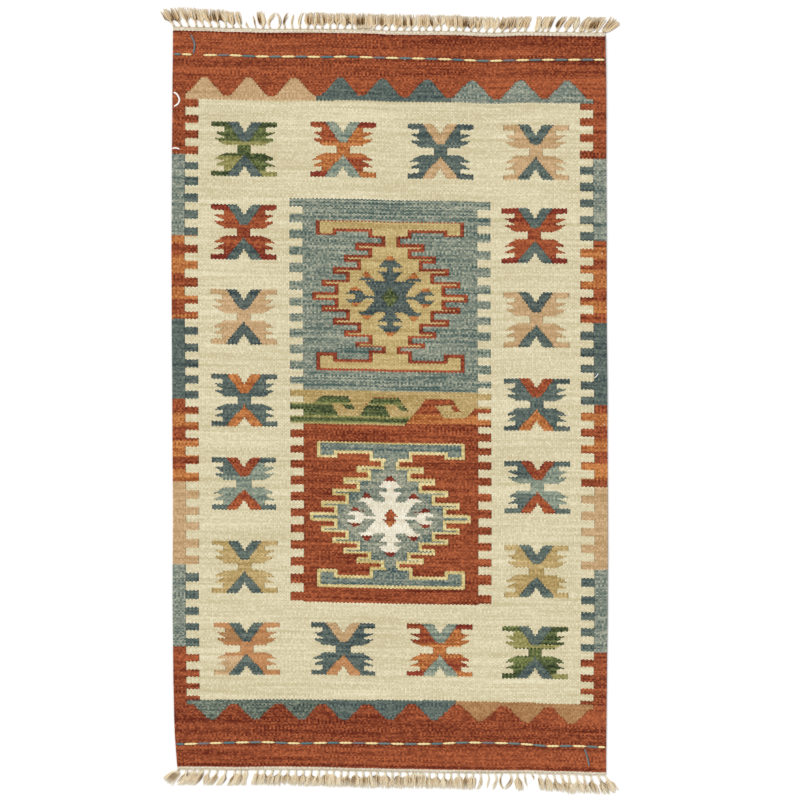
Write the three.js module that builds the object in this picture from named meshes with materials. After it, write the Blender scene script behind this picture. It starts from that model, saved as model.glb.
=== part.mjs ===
// A flat-woven wool kilim with a cotton fringe at each end, lying flat on the surface it covers.
// Units are millimetres. +Z is up, +Y is the far end and +X is the right-hand side.
// The origin is on the underside, in the middle of the cloth.

import * as THREE from 'three';

const CLOTH_THICKNESS = 3.5;
const FRINGE_THICKNESS = 2.4;
const PIECE_GAP = 0.3;
const OUTLINE_STEP = 16;

const TASSEL_COUNT = 58;
const FIRST_TASSEL_INSET = 3;
const KNOT_ROW_WIDTH = 2.4;

const WOOL_COLOUR = 0x96452e;
const COTTON_COLOUR = 0xc2ad8a;

// The selvedges at both sides wander, and the near left corner is drawn in.
// along runs from 0 at the near end to 1 at the far end. left and right are places on X.
const SIDES = [
  { along: 0.0, left: -438.6, right: 448.2 },
  { along: 0.015, left: -440.9, right: 448.2 },
  { along: 0.03, left: -442.8, right: 448.0 },
  { along: 0.06, left: -445.6, right: 448.6 },
  { along: 0.14, left: -447.6, right: 449.8 },
  { along: 0.23, left: -449.0, right: 451.2 },
  { along: 0.34, left: -448.1, right: 451.5 },
  { along: 0.5, left: -449.6, right: 450.6 },
  { along: 0.62, left: -450.8, right: 449.3 },
  { along: 0.7, left: -451.3, right: 449.2 },
  { along: 0.8, left: -450.4, right: 448.6 },
  { along: 0.9, left: -449.4, right: 448.4 },
  { along: 1.0, left: -448.0, right: 447.0 },
];

// The ends, with their narrow cream webs, are not quite square to the sides.
// across runs from 0 at the left to 1 at the right. near and far are places on Y.
const ENDS = [
  { across: 0.0, near: -764.2, far: 771.0 },
  { across: 0.06, near: -764.2, far: 769.8 },
  { across: 0.14, near: -765.2, far: 767.8 },
  { across: 0.22, near: -764.2, far: 766.2 },
  { across: 0.31, near: -764.7, far: 766.4 },
  { across: 0.43, near: -767.4, far: 765.4 },
  { across: 0.52, near: -769.0, far: 762.2 },
  { across: 0.64, near: -771.0, far: 761.6 },
  { across: 0.74, near: -772.0, far: 758.2 },
  { across: 0.81, near: -771.9, far: 760.4 },
  { across: 0.9, near: -774.0, far: 759.4 },
  { across: 1.0, near: -776.5, far: 758.6 },
];

// How the tassels lie, from the first to the last of a fringe. reach is how far a tassel goes out
// from the cloth, and lean how far its tip lies to the side, positive towards the last tassel.
const TASSEL_LAY = [
  { place: 0.0, reach: 37, lean: -21 },
  { place: 0.05, reach: 40, lean: -11 },
  { place: 0.12, reach: 37, lean: -9 },
  { place: 0.18, reach: 33, lean: 0 },
  { place: 0.6, reach: 34, lean: 0 },
  { place: 0.72, reach: 33, lean: 4 },
  { place: 0.86, reach: 32, lean: 9 },
  { place: 0.93, reach: 32, lean: 14 },
  { place: 0.985, reach: 32, lean: 17 },
  { place: 1.0, reach: 20, lean: 33 },
];

// Where the tassels stand, since they were not knotted at even steps: the number of a tassel, from 0,
// and its place from the first tassel to the last.
const TASSEL_FEET = [
  { tassel: 0, place: 0.0 },
  { tassel: 24, place: 0.413 },
  { tassel: 40, place: 0.689 },
  { tassel: 47, place: 0.816 },
  { tassel: 48, place: 0.842 },
  { tassel: 50, place: 0.869 },
  { tassel: 52, place: 0.91 },
  { tassel: 57, place: 1.0 },
];

// One tassel from its neck to its tip: height as a share of the reach, and half its width.
const TASSEL_PROFILE = [
  { height: 0.0, half: 1.6 },
  { height: 0.25, half: 1.8 },
  { height: 0.62, half: 5.2 },
  { height: 0.9, half: 5.6 },
  { height: 1.0, half: 3.4 },
];

// The value of one column of a table, eased between the two rows around a place.
function readTable(table, key, column, place) {
  const next = Math.max(1, table.findIndex((row) => row[key] >= place));
  const low = table[next - 1];
  const high = table[next];
  const share = THREE.MathUtils.smoothstep(place, low[key], high[key]);
  return THREE.MathUtils.lerp(low[column], high[column], share);
}

// A point of the cloth's outline on one of its ends, 'near' or 'far'.
function endPoint(end, across) {
  const along = end === 'far' ? 1 : 0;
  const left = readTable(SIDES, 'along', 'left', along);
  const right = readTable(SIDES, 'along', 'right', along);
  return new THREE.Vector2(THREE.MathUtils.lerp(left, right, across), readTable(ENDS, 'across', end, across));
}

// A point of the cloth's outline on one of its sides, 'left' or 'right'.
function sidePoint(side, along) {
  const across = side === 'right' ? 1 : 0;
  const near = readTable(ENDS, 'across', 'near', across);
  const far = readTable(ENDS, 'across', 'far', across);
  return new THREE.Vector2(readTable(SIDES, 'along', side, along), THREE.MathUtils.lerp(near, far, along));
}

// The place of a tassel, on a straight line between the two rows around its number.
function tasselPlace(tassel) {
  const next = Math.max(1, TASSEL_FEET.findIndex((row) => row.tassel >= tassel));
  const low = TASSEL_FEET[next - 1];
  const high = TASSEL_FEET[next];
  return THREE.MathUtils.mapLinear(tassel, low.tassel, high.tassel, low.place, high.place);
}

function shares(length) {
  const count = Math.round(length / OUTLINE_STEP);
  return Array.from({ length: count }, (_, i) => i / count);
}

function clothOutline() {
  const width = endPoint('near', 1).distanceTo(endPoint('near', 0));
  const length = sidePoint('left', 1).distanceTo(sidePoint('left', 0));
  return [
    ...shares(width).map((share) => endPoint('near', share)),
    ...shares(length).map((share) => sidePoint('right', share)),
    ...shares(width).map((share) => endPoint('far', 1 - share)),
    ...shares(length).map((share) => sidePoint('left', 1 - share)),
  ];
}

// A fringe is one comb: a row of knots along the cloth's end, with a tassel standing out from each.
// The near fringe is the far one turned half round, so there the first tassel is at the right.
function fringeOutline(end) {
  const out = end === 'far' ? 1 : -1;
  const edgePoint = (place) => endPoint(end, out > 0 ? place : 1 - place);
  const width = edgePoint(0).distanceTo(edgePoint(1));
  const inner = [...shares(width), 1].map((place) => {
    const point = edgePoint(place);
    return new THREE.Vector2(point.x, point.y + out * PIECE_GAP);
  });
  const knots = PIECE_GAP + KNOT_ROW_WIDTH;
  const tassels = [];
  for (let k = 0; k < TASSEL_COUNT; k += 1) {
    const spread = tasselPlace(k);
    const place = THREE.MathUtils.lerp(FIRST_TASSEL_INSET / width, 1 - FIRST_TASSEL_INSET / width, spread);
    const foot = edgePoint(place);
    const reach = readTable(TASSEL_LAY, 'place', 'reach', spread) - KNOT_ROW_WIDTH;
    const lean = readTable(TASSEL_LAY, 'place', 'lean', spread);
    const flank = (side) => TASSEL_PROFILE.map(({ height, half }) => {
      const x = foot.x + out * (lean * height + side * half);
      const y = foot.y + out * (knots + reach * height);
      return new THREE.Vector2(x, y);
    });
    tassels.push(...flank(-1), ...flank(1).reverse());
  }
  const corner = (place) => {
    const point = edgePoint(place);
    return new THREE.Vector2(point.x, point.y + out * knots);
  };
  return [...inner, corner(1), ...tassels.reverse(), corner(0)];
}

function flatPiece(name, outline, thickness, colour) {
  const geometry = new THREE.ExtrudeGeometry(new THREE.Shape(outline), { depth: thickness, bevelEnabled: false });
  const material = new THREE.MeshStandardMaterial({ color: colour, roughness: 0.95, metalness: 0 });
  const mesh = new THREE.Mesh(geometry, material);
  mesh.name = name;
  return mesh;
}

const rug = new THREE.Group();
rug.add(flatPiece('kilim_cloth', clothOutline(), CLOTH_THICKNESS, WOOL_COLOUR));
rug.add(flatPiece('fringe_far', fringeOutline('far'), FRINGE_THICKNESS, COTTON_COLOUR));
rug.add(flatPiece('fringe_near', fringeOutline('near'), FRINGE_THICKNESS, COTTON_COLOUR));

export default rug;
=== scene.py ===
# %% [markdown]
# # A flat-woven kilim, lesson by lesson
# The rug is a slit-tapestry kilim: wool weft beaten so hard over cotton warps that only the wool shows.
# It lies flat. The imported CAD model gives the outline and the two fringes, and this lesson builds
# what the eye sees: ribbed cloth, a pattern worked out warp by warp, twined rows and a knotted fringe.

import math
import random

import bpy
import numpy as np
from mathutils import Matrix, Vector


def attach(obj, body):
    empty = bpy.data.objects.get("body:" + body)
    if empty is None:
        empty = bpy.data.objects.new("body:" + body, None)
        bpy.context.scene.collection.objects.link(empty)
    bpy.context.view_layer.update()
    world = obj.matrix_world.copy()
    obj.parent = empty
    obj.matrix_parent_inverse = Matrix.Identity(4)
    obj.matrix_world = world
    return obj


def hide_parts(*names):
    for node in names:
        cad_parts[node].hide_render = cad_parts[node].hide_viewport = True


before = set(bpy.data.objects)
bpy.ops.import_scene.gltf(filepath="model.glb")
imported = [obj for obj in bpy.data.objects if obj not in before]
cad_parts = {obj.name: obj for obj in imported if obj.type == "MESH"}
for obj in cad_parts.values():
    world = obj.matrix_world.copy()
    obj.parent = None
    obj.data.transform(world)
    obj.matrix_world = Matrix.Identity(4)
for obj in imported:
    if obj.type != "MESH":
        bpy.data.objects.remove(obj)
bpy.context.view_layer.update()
print("CAD nodes:", sorted(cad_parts))

# %% [markdown]
# ## Sizes of the real rug
# A kilim is counted, not measured: so many warps across, so many rows of weft along. The warps here
# stand 3.9 mm apart, and the weft makes a bead every 3 mm on each of them. All the patterns below
# are charted in warps across and millimetres along, counted from the far left corner.

# %% Loom sizes
MM = 0.001
WARPS = 232
LOOM_LENGTH = 1533.0
BEAD_LENGTH = 3.0
CLOTH_THICKNESS = 3.5 * MM
FAR_WEB = 6.7
NEAR_WEB = 5.4

# %% [markdown]
# ## Camera, floor and light
# The camera looks straight down with a long lens, so that the rug keeps its true outline.
# The floor is a plain pale board. Most of the light comes from all round, and a broad lamp at the
# far left gives the ribs of the cloth a light side and a dark side.


# %% Put things into the scene
def show(name, data):
    """A new object in the scene with this data."""
    made = bpy.data.objects.new(name, data)
    bpy.context.scene.collection.objects.link(made)
    return made


# %% Camera
VIEW_WIDTH = 1.655
VIEW_CENTRE = (0.0217, -0.0006)
LENS = 200.0
SENSOR = 36.0

camera_data = bpy.data.cameras.new("camera_above")
camera_data.lens = LENS
camera_data.sensor_width = SENSOR
camera_data.clip_end = 100.0
camera = show("camera_above", camera_data)
camera.location = (*VIEW_CENTRE, VIEW_WIDTH * LENS / SENSOR + CLOTH_THICKNESS)
bpy.context.scene.camera = camera
print("camera height:", round(camera.location.z, 2), "m")


# %% Colours are written as on a screen and turned into light
def linear(red, green, blue):
    """A colour from screen values of 0 to 255 to the linear values that shaders use."""
    shares = [value / 255 for value in (red, green, blue)]
    return tuple(s / 12.92 if s <= 0.04045 else ((s + 0.055) / 1.055) ** 2.4 for s in shares) + (1.0,)


# %% Floor
FLOOR_SIZE = 30.0
FLOOR_GAP = 0.4 * MM

floor_mesh = bpy.data.meshes.new("floor")
half_floor = FLOOR_SIZE / 2
square = ((-1, -1), (1, -1), (1, 1), (-1, 1))
floor_corners = [(x * half_floor, y * half_floor, -FLOOR_GAP) for x, y in square]
floor_mesh.from_pydata(floor_corners, [], [(0, 1, 2, 3)])
floor = show("floor", floor_mesh)
floor_paint = bpy.data.materials.new("pale_floor")
floor_paint.use_nodes = True
floor_shader = floor_paint.node_tree.nodes["Principled BSDF"]
floor_shader.inputs["Base Color"].default_value = (0.98, 0.98, 0.98, 1)
floor_shader.inputs["Roughness"].default_value = 0.9
floor_mesh.materials.append(floor_paint)

# %% Light
SKY_STRENGTH = 0.62
LAMP_STRENGTH = 1.8
LAMP_SPREAD = 40
LAMP_TOWARDS = (0.55, -0.45, -1.0)

world = bpy.data.worlds.new("soft_room")
world.use_nodes = True
world.node_tree.nodes["Background"].inputs["Color"].default_value = (1, 1, 1, 1)
world.node_tree.nodes["Background"].inputs["Strength"].default_value = SKY_STRENGTH
bpy.context.scene.world = world
bpy.context.scene.view_settings.view_transform = "Standard"

lamp_data = bpy.data.lights.new("soft_lamp", "SUN")
lamp_data.energy = LAMP_STRENGTH
lamp_data.angle = math.radians(LAMP_SPREAD)
lamp = show("soft_lamp", lamp_data)
lamp.rotation_euler = Vector(LAMP_TOWARDS).to_track_quat("-Z", "Y").to_euler()
print("lamp shines towards", LAMP_TOWARDS)

# %% [markdown]
# ## The outline of the cloth
# No kilim is a true rectangle: the selvedges wander, and the near left corner of this one is drawn in.
# The CAD solid already has that outline, so it is read from there. Its points are put in order round
# the middle and cut at the four corners into two selvedges and two ends.


# %% Read the four edges from the CAD solid
def outline_edges(node):
    """The far, near, left and right edges of a flat CAD solid, each as points in reading order."""
    points = np.unique(np.round([v.co[:2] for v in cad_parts[node].data.vertices], 6), axis=0)
    points = points[np.argsort(np.arctan2(points[:, 1], points[:, 0]))]
    corner = {
        (sx, sy): int(np.argmax(points @ np.array([sx, sy]))) for sx in (-1, 1) for sy in (-1, 1)
    }

    def walk(start, end):
        steps = (end - start) % len(points)
        return points[[(start + k) % len(points) for k in range(steps + 1)]]

    return {
        "far": walk(corner[1, 1], corner[-1, 1])[::-1],
        "left": walk(corner[-1, 1], corner[-1, -1])[::-1],
        "near": walk(corner[-1, -1], corner[1, -1]),
        "right": walk(corner[1, -1], corner[1, 1]),
    }


def along_edge(edge, shares):
    """Points at these shares of an edge's length."""
    lengths = np.concatenate([[0], np.cumsum(np.linalg.norm(np.diff(edge, axis=0), axis=1))])
    lengths /= lengths[-1]
    return np.stack([np.interp(shares, lengths, edge[:, k]) for k in (0, 1)], -1)


EDGES = outline_edges("kilim_cloth")
for name, edge in EDGES.items():
    print(name, "edge:", len(edge), "points, from", edge[0].round(3), "to", edge[-1].round(3))

# %% [markdown]
# ## Cloth as a loom grid
# A flat plane with a bump would go smooth when seen from the side, and the ribs over the warps are
# just what makes a kilim look woven. So the cloth is a closed shell with four columns of faces to
# each warp: groove, flank, crest, flank. The rows follow the weft. Both are spread between the four
# edges by a Coons patch, which lets every row droop and every warp wander as the edges do. The two
# faces share their points along the outline, so the selvedge is round and the shell is closed.

# %% Spread shares of width and length between the four edges
COLUMNS_PER_WARP = 4


def coons(across, along):
    """Places for a grid of shares across (0 left, 1 right) and along (0 near, 1 far)."""
    near, far = along_edge(EDGES["near"], across), along_edge(EDGES["far"], across)
    left, right = along_edge(EDGES["left"], along), along_edge(EDGES["right"], along)
    s, t = across[None, :, None], along[:, None, None]
    ends = near[None] * (1 - t) + far[None] * t
    sides = left[:, None] * (1 - s) + right[:, None] * s
    corners = (near[0] * (1 - s) + near[-1] * s) * (1 - t) + (far[0] * (1 - s) + far[-1] * s) * t
    return ends + sides - corners


# %% Rows of the grid, closer together at the webs
WEB_ROWS = (0.0, 1.2, 4.0, 6.0, 7.6, 14.0)
BODY_START = 32
BODY_ROWS = 39

body_places = np.linspace(BODY_START, LOOM_LENGTH - BODY_START, BODY_ROWS)
row_places = np.concatenate([WEB_ROWS, body_places, LOOM_LENGTH - np.array(WEB_ROWS[::-1])])
column_count = WARPS * COLUMNS_PER_WARP + 1
row_count = len(row_places)
print("grid:", column_count, "columns by", row_count, "rows")

# %% [markdown]
# Wool packs to 3.5 mm, and the narrow cotton web at each end only to 2.2 mm, so the cloth steps down
# there. A rug that has been rolled never lies dead flat: low waves of a millimetre run through it.

# %% Heights of the two faces
RIB_DEPTH = 0.75
RIB_SEED = 7
LEAST_RIB = 0.88
WEB_RIBS = 0.55
WEB_THICKNESS = 2.2
WOOL_START = 5.0
WOOL_RISE = 3.0
SCALLOP = 0.5 * MM
RIB_SHAPE = (0.0, 0.78, 1.0, 0.78)
WAVES = [(0.9, 2.1, 1.7, 0.4), (0.6, -1.3, 4.6, 2.0), (0.35, 5.2, 3.1, 4.1), (0.25, 7.4, -9.0, 1.0)]
WAVE_HEIGHT = 0.55


def waves(across, along):
    """Low waves in the cloth, in mm, never below the floor."""
    height = sum(a * np.sin(2 * math.pi * (fx * across + fy * along) + p) for a, fx, fy, p in WAVES)
    return WAVE_HEIGHT * (height + sum(a for a, *_ in WAVES))


def rib_profile():
    """1 on a crest, 0 in a groove, with each warp a little fuller or thinner than the next."""
    fullness = np.random.default_rng(RIB_SEED).uniform(LEAST_RIB, 1.0, WARPS)
    profile = (fullness[:, None] * np.array(RIB_SHAPE)[None]).ravel()
    return np.append(profile, 0.0)


# %% Build the shell
def cloth_shell():
    """The places of the grid, the heights of both faces, the rim and the loom shares."""
    across = np.linspace(0, 1, column_count)
    far_side = row_places / LOOM_LENGTH
    places = coons(across, 1 - far_side)
    scallop = np.cos(np.pi * (np.arange(column_count) // COLUMNS_PER_WARP))
    in_web = np.minimum(row_places, LOOM_LENGTH - row_places)
    first_wool = (in_web > WOOL_START) & (in_web < WOOL_START + 2)
    places[first_wool, :, 1] += SCALLOP * scallop
    wool = np.clip((in_web - WOOL_START) / WOOL_RISE, 0, 1)[:, None]
    thickness = WEB_THICKNESS + (CLOTH_THICKNESS / MM - WEB_THICKNESS) * wool
    groove = RIB_DEPTH * (WEB_RIBS + (1 - WEB_RIBS) * wool) * (1 - rib_profile()[None])
    lift = waves(across[None], far_side[:, None])
    top = lift + thickness - groove
    bottom = lift + groove
    rim = np.zeros_like(top, bool)
    rim[[0, -1]] = True
    rim[:, [0, -1]] = True
    top[rim] = (lift + thickness / 2)[rim]
    return places, top * MM, bottom * MM, rim, across, 1 - far_side


places, top, bottom, rim, uv_across, uv_along = cloth_shell()
print("top between", (top.min() / MM).round(2), "and", (top.max() / MM).round(2), "mm")


# %% Turn the grid into a mesh with loom coordinates as its UV map
def cloth_mesh():
    shape = top.shape
    top_index = np.arange(top.size).reshape(shape)
    inner = ~rim
    bottom_index = top_index.copy()
    bottom_index[inner] = top.size + np.arange(int(inner.sum()))
    top_points = np.concatenate([places, top[..., None]], -1).reshape(-1, 3)
    bottom_points = np.concatenate([places, bottom[..., None]], -1)[inner]
    points = np.concatenate([top_points, bottom_points])

    def quads(index, flip):
        # Rows run from far to near, so this order faces up.
        ring = [index[:-1, :-1], index[1:, :-1], index[1:, 1:], index[:-1, 1:]]
        return np.stack(ring[::-1] if flip else ring, -1).reshape(-1, 4)

    grid_uv = np.stack(np.meshgrid(uv_across, uv_along), -1).reshape(-1, 2)
    faces = np.concatenate([quads(top_index, False), quads(bottom_index, True)])
    corners = np.concatenate([quads(top_index, False), quads(top_index, True)])
    mesh = bpy.data.meshes.new("kilim_cloth_woven")
    mesh.vertices.add(len(points))
    mesh.vertices.foreach_set("co", points.astype(np.float32).ravel())
    mesh.loops.add(faces.size)
    mesh.loops.foreach_set("vertex_index", faces.astype(np.int32).ravel())
    mesh.polygons.add(len(faces))
    mesh.polygons.foreach_set("loop_start", np.arange(0, faces.size, 4, dtype=np.int32))
    mesh.polygons.foreach_set("loop_total", np.full(len(faces), 4, dtype=np.int32))
    loom_map = mesh.uv_layers.new(name=LOOM_MAP)
    loom_map.uv.foreach_set("vector", grid_uv[corners.ravel()].astype(np.float32).ravel())
    mesh.update(calc_edges=True)
    mesh.validate()
    mesh.shade_smooth()
    return mesh


LOOM_MAP = "OFBake"
cloth_data = cloth_mesh()
cloth = show("woven_cloth", cloth_data)
print("cloth:", len(cloth_data.polygons) * 2, "triangles")

# %% [markdown]
# ## Arithmetic with nodes
# The pattern is worked out by Math nodes. Written out one by one they would fill pages, so a small
# class wraps one output of a node, and adding, multiplying or comparing two of them adds the Math
# node that does it. A table pairs each sign, by Python's name for it, with its kind of Math node, and
# a loop gives the class a method for each. After this cell a pattern reads like ordinary arithmetic.


# %% A wire is one output of a node
class Wire:
    def __init__(self, socket):
        self.socket = socket

    def __abs__(self):
        return math_node("ABSOLUTE", self)


def operator(operation, turned=False):
    """A method that makes a Math node of a wire and what stands at its other side."""
    if turned:
        return lambda self, other: math_node(operation, other, self)
    return lambda self, other: math_node(operation, self, other)


OPERATIONS = {
    "add": "ADD", "sub": "SUBTRACT", "mul": "MULTIPLY", "truediv": "DIVIDE",
    "lt": "LESS_THAN", "gt": "GREATER_THAN", "and": "MULTIPLY", "or": "MAXIMUM",
}
for label, operation in OPERATIONS.items():
    setattr(Wire, "__" + label + "__", operator(operation))
for label in ("add", "sub", "mul"):
    setattr(Wire, "__r" + label + "__", operator(OPERATIONS[label], turned=True))


def plug(value, socket):
    """Puts a wire or a plain number into a socket."""
    if isinstance(value, Wire):
        socket.id_data.links.new(value.socket, socket)
    else:
        socket.default_value = value


def math_node(operation, *values):
    """A Math node in the tree that the first wire belongs to."""
    tree = next(v for v in values if isinstance(v, Wire)).socket.id_data
    node = tree.nodes.new("ShaderNodeMath")
    node.operation = operation
    for value, socket in zip(values, node.inputs):
        plug(value, socket)
    return Wire(node.outputs[0])


def floor_of(value):
    return math_node("FLOOR", value)


def part_of(value):
    """The part after the decimal point."""
    return math_node("FRACT", value)


def clamped(value, low, high):
    return math_node("MINIMUM", math_node("MAXIMUM", value, low), high)


def choose(mask, yes, no):
    """yes where the mask is 1, and no where it is 0."""
    tree = mask.socket.id_data
    node = tree.nodes.new("ShaderNodeMix")
    node.data_type = "FLOAT"
    plug(mask, node.inputs["Factor"])
    plug(no, node.inputs["A"])
    plug(yes, node.inputs["B"])
    return Wire(node.outputs["Result"])


# %% [markdown]
# ## Charts as ramps
# A weaver's chart says, for each row, from which warp to which warp a colour runs. A Color Ramp node
# can hold such a chart: its position is the place along the cloth, and the four channels of each stop
# hold up to four numbers of that row. Stepped charts jump from row to row, and sloped ones run
# straight from one row to the next, as the slanted edges of a kilim do. A ramp holds no number under
# zero, so where a chart needs some, a round number is added to all of it and taken away again.
#
# Each node is made after those that feed it: Cycles works through them in that order and has room for
# a limited number of values that wait for their use, so a big tree made otherwise can turn out black.

# %% Read a chart
CHART_SCALE = 256.0
CHART_JUMP = 0.004


def chart(place, span, rows, stepped=False):
    """Up to four numbers at a place from 0 to span, from rows of (place, number, ...)."""
    share = place / span
    tree = share.socket.id_data
    node = tree.nodes.new("ShaderNodeValToRGB")
    ramp = node.color_ramp
    ramp.interpolation = "CONSTANT" if stepped else "LINEAR"
    width = max(len(row) for row in rows) - 1
    last = -1.0
    for number, row in enumerate(rows):
        position = min(row[0] / span, 1.0)
        if position <= last:
            position = last + CHART_JUMP
        last = position
        if number < 2:
            stop = ramp.elements[number]
            stop.position = position
        else:
            stop = ramp.elements.new(position)
        values = [value / CHART_SCALE for value in row[1:]] + [0.0] * (4 - width)
        stop.color = values
    plug(share, node.inputs["Fac"])
    split = tree.nodes.new("ShaderNodeSeparateColor")
    tree.links.new(node.outputs["Color"], split.inputs["Color"])
    wires = [Wire(split.outputs[k]) for k in range(3)] + [Wire(node.outputs["Alpha"])]
    return [wire * CHART_SCALE for wire in wires[:width]]


def look_up(number, rows):
    """The numbers in one of the rows, picked by a whole number from 0."""
    listed = [(k, *(row if isinstance(row, tuple) else (row,))) for k, row in enumerate(rows)]
    found = chart(number + 0.5, len(rows), listed, stepped=True)
    return found if len(found) > 1 else found[0]


def between(value, low, high):
    """1 where the value is between the two limits."""
    return (value > low) & (value < high)


def in_any(value, ranges):
    """1 where the value is inside one of the ranges."""
    found = between(value, *ranges[0])
    for low, high in ranges[1:]:
        found = found | between(value, low, high)
    return found


def raised(rows, by):
    """The rows of a chart with the same number added to all but their places."""
    return [(place, *(value + by for value in values)) for place, *values in rows]


# %% [markdown]
# ## Groups
# Each motif is worked out in a node group of its own, with named inputs and outputs, and then placed
# where it is needed. One helper makes the sockets of a group, and another places a group in a tree.


# %% Make and place node groups
def new_group(name, inputs, outputs):
    """A node group with number sockets. Returns the tree, its inputs as wires and its output node."""
    tree = bpy.data.node_groups.new(name, "ShaderNodeTree")
    for label in inputs:
        tree.interface.new_socket(label, in_out="INPUT", socket_type="NodeSocketFloat")
    for label in outputs:
        kind = "NodeSocketColor" if label == "Color" else "NodeSocketFloat"
        tree.interface.new_socket(label, in_out="OUTPUT", socket_type=kind)
    source = tree.nodes.new("NodeGroupInput")
    result = tree.nodes.new("NodeGroupOutput")
    return tree, [Wire(source.outputs[label]) for label in inputs], result.inputs


def place_group(tree, group, *values):
    """Puts a group into a tree with its inputs in order, and returns its outputs as wires."""
    node = tree.nodes.new("ShaderNodeGroup")
    node.node_tree = group
    for value, socket in zip(values, node.inputs):
        plug(value, socket)
    wires = [Wire(socket) for socket in node.outputs]
    return wires if len(wires) > 1 else wires[0]


# %% [markdown]
# ## The yarn rack
# The wool is dyed in small lots, and each skein is a little uneven. So a yarn is kept as two tones,
# a dark and a light one, and every bead of the weave takes a mix of the two. The patterns below only
# say which yarn is used, by its number on the rack.

# %% Yarns, dark tone and light tone
YARNS = {
    "cream": ((210, 198, 159), (231, 221, 187)),
    "rust": ((116, 48, 24), (174, 92, 54)),
    "red": ((128, 54, 32), (176, 94, 54)),
    "brick": ((116, 46, 26), (170, 82, 50)),
    "oxblood": ((108, 34, 24), (150, 66, 44)),
    "orange": ((158, 88, 42), (206, 134, 76)),
    "tan": ((184, 150, 106), (212, 178, 136)),
    "peach": ((178, 124, 78), (204, 148, 100)),
    "bark": ((158, 112, 70), (186, 142, 96)),
    "grey_blue": ((98, 112, 104), (162, 166, 148)),
    "pale_blue": ((110, 124, 112), (160, 168, 148)),
    "panel_blue": ((92, 108, 100), (162, 166, 146)),
    "mist": ((106, 118, 106), (170, 170, 148)),
    "lake": ((80, 98, 96), (150, 156, 138)),
    "pine_blue": ((66, 80, 72), (130, 138, 122)),
    "slate": ((68, 82, 80), (110, 122, 112)),
    "navy": ((58, 72, 72), (104, 114, 106)),
    "dusk": ((70, 84, 84), (108, 120, 108)),
    "camel": ((181, 155, 99), (209, 187, 131)),
    "mustard": ((168, 142, 86), (202, 176, 122)),
    "straw": ((196, 176, 112), (234, 216, 160)),
    "fir": ((48, 60, 34), (104, 114, 70)),
    "moss": ((66, 78, 44), (122, 130, 76)),
    "olive": ((128, 124, 66), (172, 166, 108)),
    "ivory": ((224, 214, 188), (246, 240, 220)),
    "web": ((208, 192, 164), (236, 226, 206)),
}
YARN_NUMBER = {name: number for number, name in enumerate(YARNS)}
print(len(YARNS), "yarns on the rack")


def yarn(name):
    """The number of a yarn on the rack."""
    return YARN_NUMBER[name]


# %% Pick a tone from a row of them, and blend two colours
def tone_ramp(tree, share, tones):
    """The tone at a share from 0 to 1 of a row of screen colours."""
    node = tree.nodes.new("ShaderNodeValToRGB")
    ramp = node.color_ramp
    ramp.interpolation = "CONSTANT"
    for number, tone in enumerate(tones):
        position = number / len(tones)
        stop = ramp.elements[number] if number < 2 else ramp.elements.new(position)
        stop.position = position
        stop.color = linear(*tone)
    plug(share, node.inputs["Fac"])
    return node.outputs["Color"]


def blend(tree, share, first, second, clamp=True):
    """The first colour at share 0 and the second at 1."""
    node = tree.nodes.new("ShaderNodeMix")
    node.data_type = "RGBA"
    node.clamp_factor = clamp
    plug(share, node.inputs[0])
    for colour, socket in ((first, node.inputs[6]), (second, node.inputs[7])):
        if isinstance(colour, tuple):
            socket.default_value = colour
        else:
            tree.links.new(colour, socket)
    return node.outputs[2]


# %% A group that looks up a yarn and mixes its two tones
def rack_group():
    tree, (number, tone), outputs = new_group("yarn rack", ["Yarn", "Tone"], ["Color"])
    place_on_rack = (number + 0.5) / len(YARNS)
    dark, light = [tone_ramp(tree, place_on_rack, tones) for tones in zip(*YARNS.values())]
    tree.links.new(blend(tree, tone, dark, light, clamp=False), outputs["Color"])
    return tree


YARN_RACK = rack_group()

# %% [markdown]
# ## Where on the loom
# The UV map gives the place on the loom. Colour can only change from one warp to the next and from
# one bead of weft to the next, so the place is rounded to the middle of a bead. Weft goes over every
# second warp and under the others, so the beads of neighbouring warps are half a bead apart, as
# bricks are. That gives the slanted and level edges of the pattern their fine teeth.


# %% Loom place
def loom_group():
    tree, (u, v), outputs = new_group(
        "loom place", ["U", "V"], ["Warp", "Along", "Row", "In Warp", "In Bead", "Fine Warp", "Fine Along"]
    )
    warp = u * WARPS
    along = (1 - v) * LOOM_LENGTH
    rib = floor_of(warp)
    brick = math_node("FLOORED_MODULO", rib, 2.0) * 0.5
    beads = along / BEAD_LENGTH + brick
    row = floor_of(beads)
    plug(rib + 0.5, outputs["Warp"])
    plug((row + 0.5 - brick) * BEAD_LENGTH, outputs["Along"])
    plug(row, outputs["Row"])
    plug(part_of(warp), outputs["In Warp"])
    plug(part_of(beads), outputs["In Bead"])
    plug(warp, outputs["Fine Warp"])
    plug(along, outputs["Fine Along"])
    return tree


LOOM_PLACE = loom_group()

# %% [markdown]
# ## Comb borders
# Down each side runs a band 7 warps wide, woven in blocks of different yarn, with a comb of square
# teeth towards the field. The combs make slits in a kilim short, so that the cloth stays strong.
# A block is five teeth long, and each ends just below a tooth, so one phase drives both.

# %% Comb borders
BORDER_WARPS = 7
TOOTH_WARPS = 7
TOOTH_PITCH = 33.96
BLOCK_TEETH = 5
FIRST_BLOCK_END = 259.2
LAST_BLOCK_START = 1278.5
TOOTH_SHARE = 0.5
BLOCKS = ("rust", "grey_blue", "rust", "slate", "rust", "tan", "grey_blue", "rust")
# The teeth of the grey-blue and slate blocks take a darker yarn than their block, as painted shade on the
# teeth.
SHADED_TOOTH_YARNS = ("rust", "slate", "rust", "navy", "rust", "tan", "slate", "rust")
# The last block was woven tighter: places in mm from its start, and the count of teeth there.
LAST_BLOCK_LENGTH = 255
LAST_TEETH = [(0, 0), (31.5, 1), (62.5, 2), (88, 3), (114, 4), (LAST_BLOCK_LENGTH, 9)]
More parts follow.
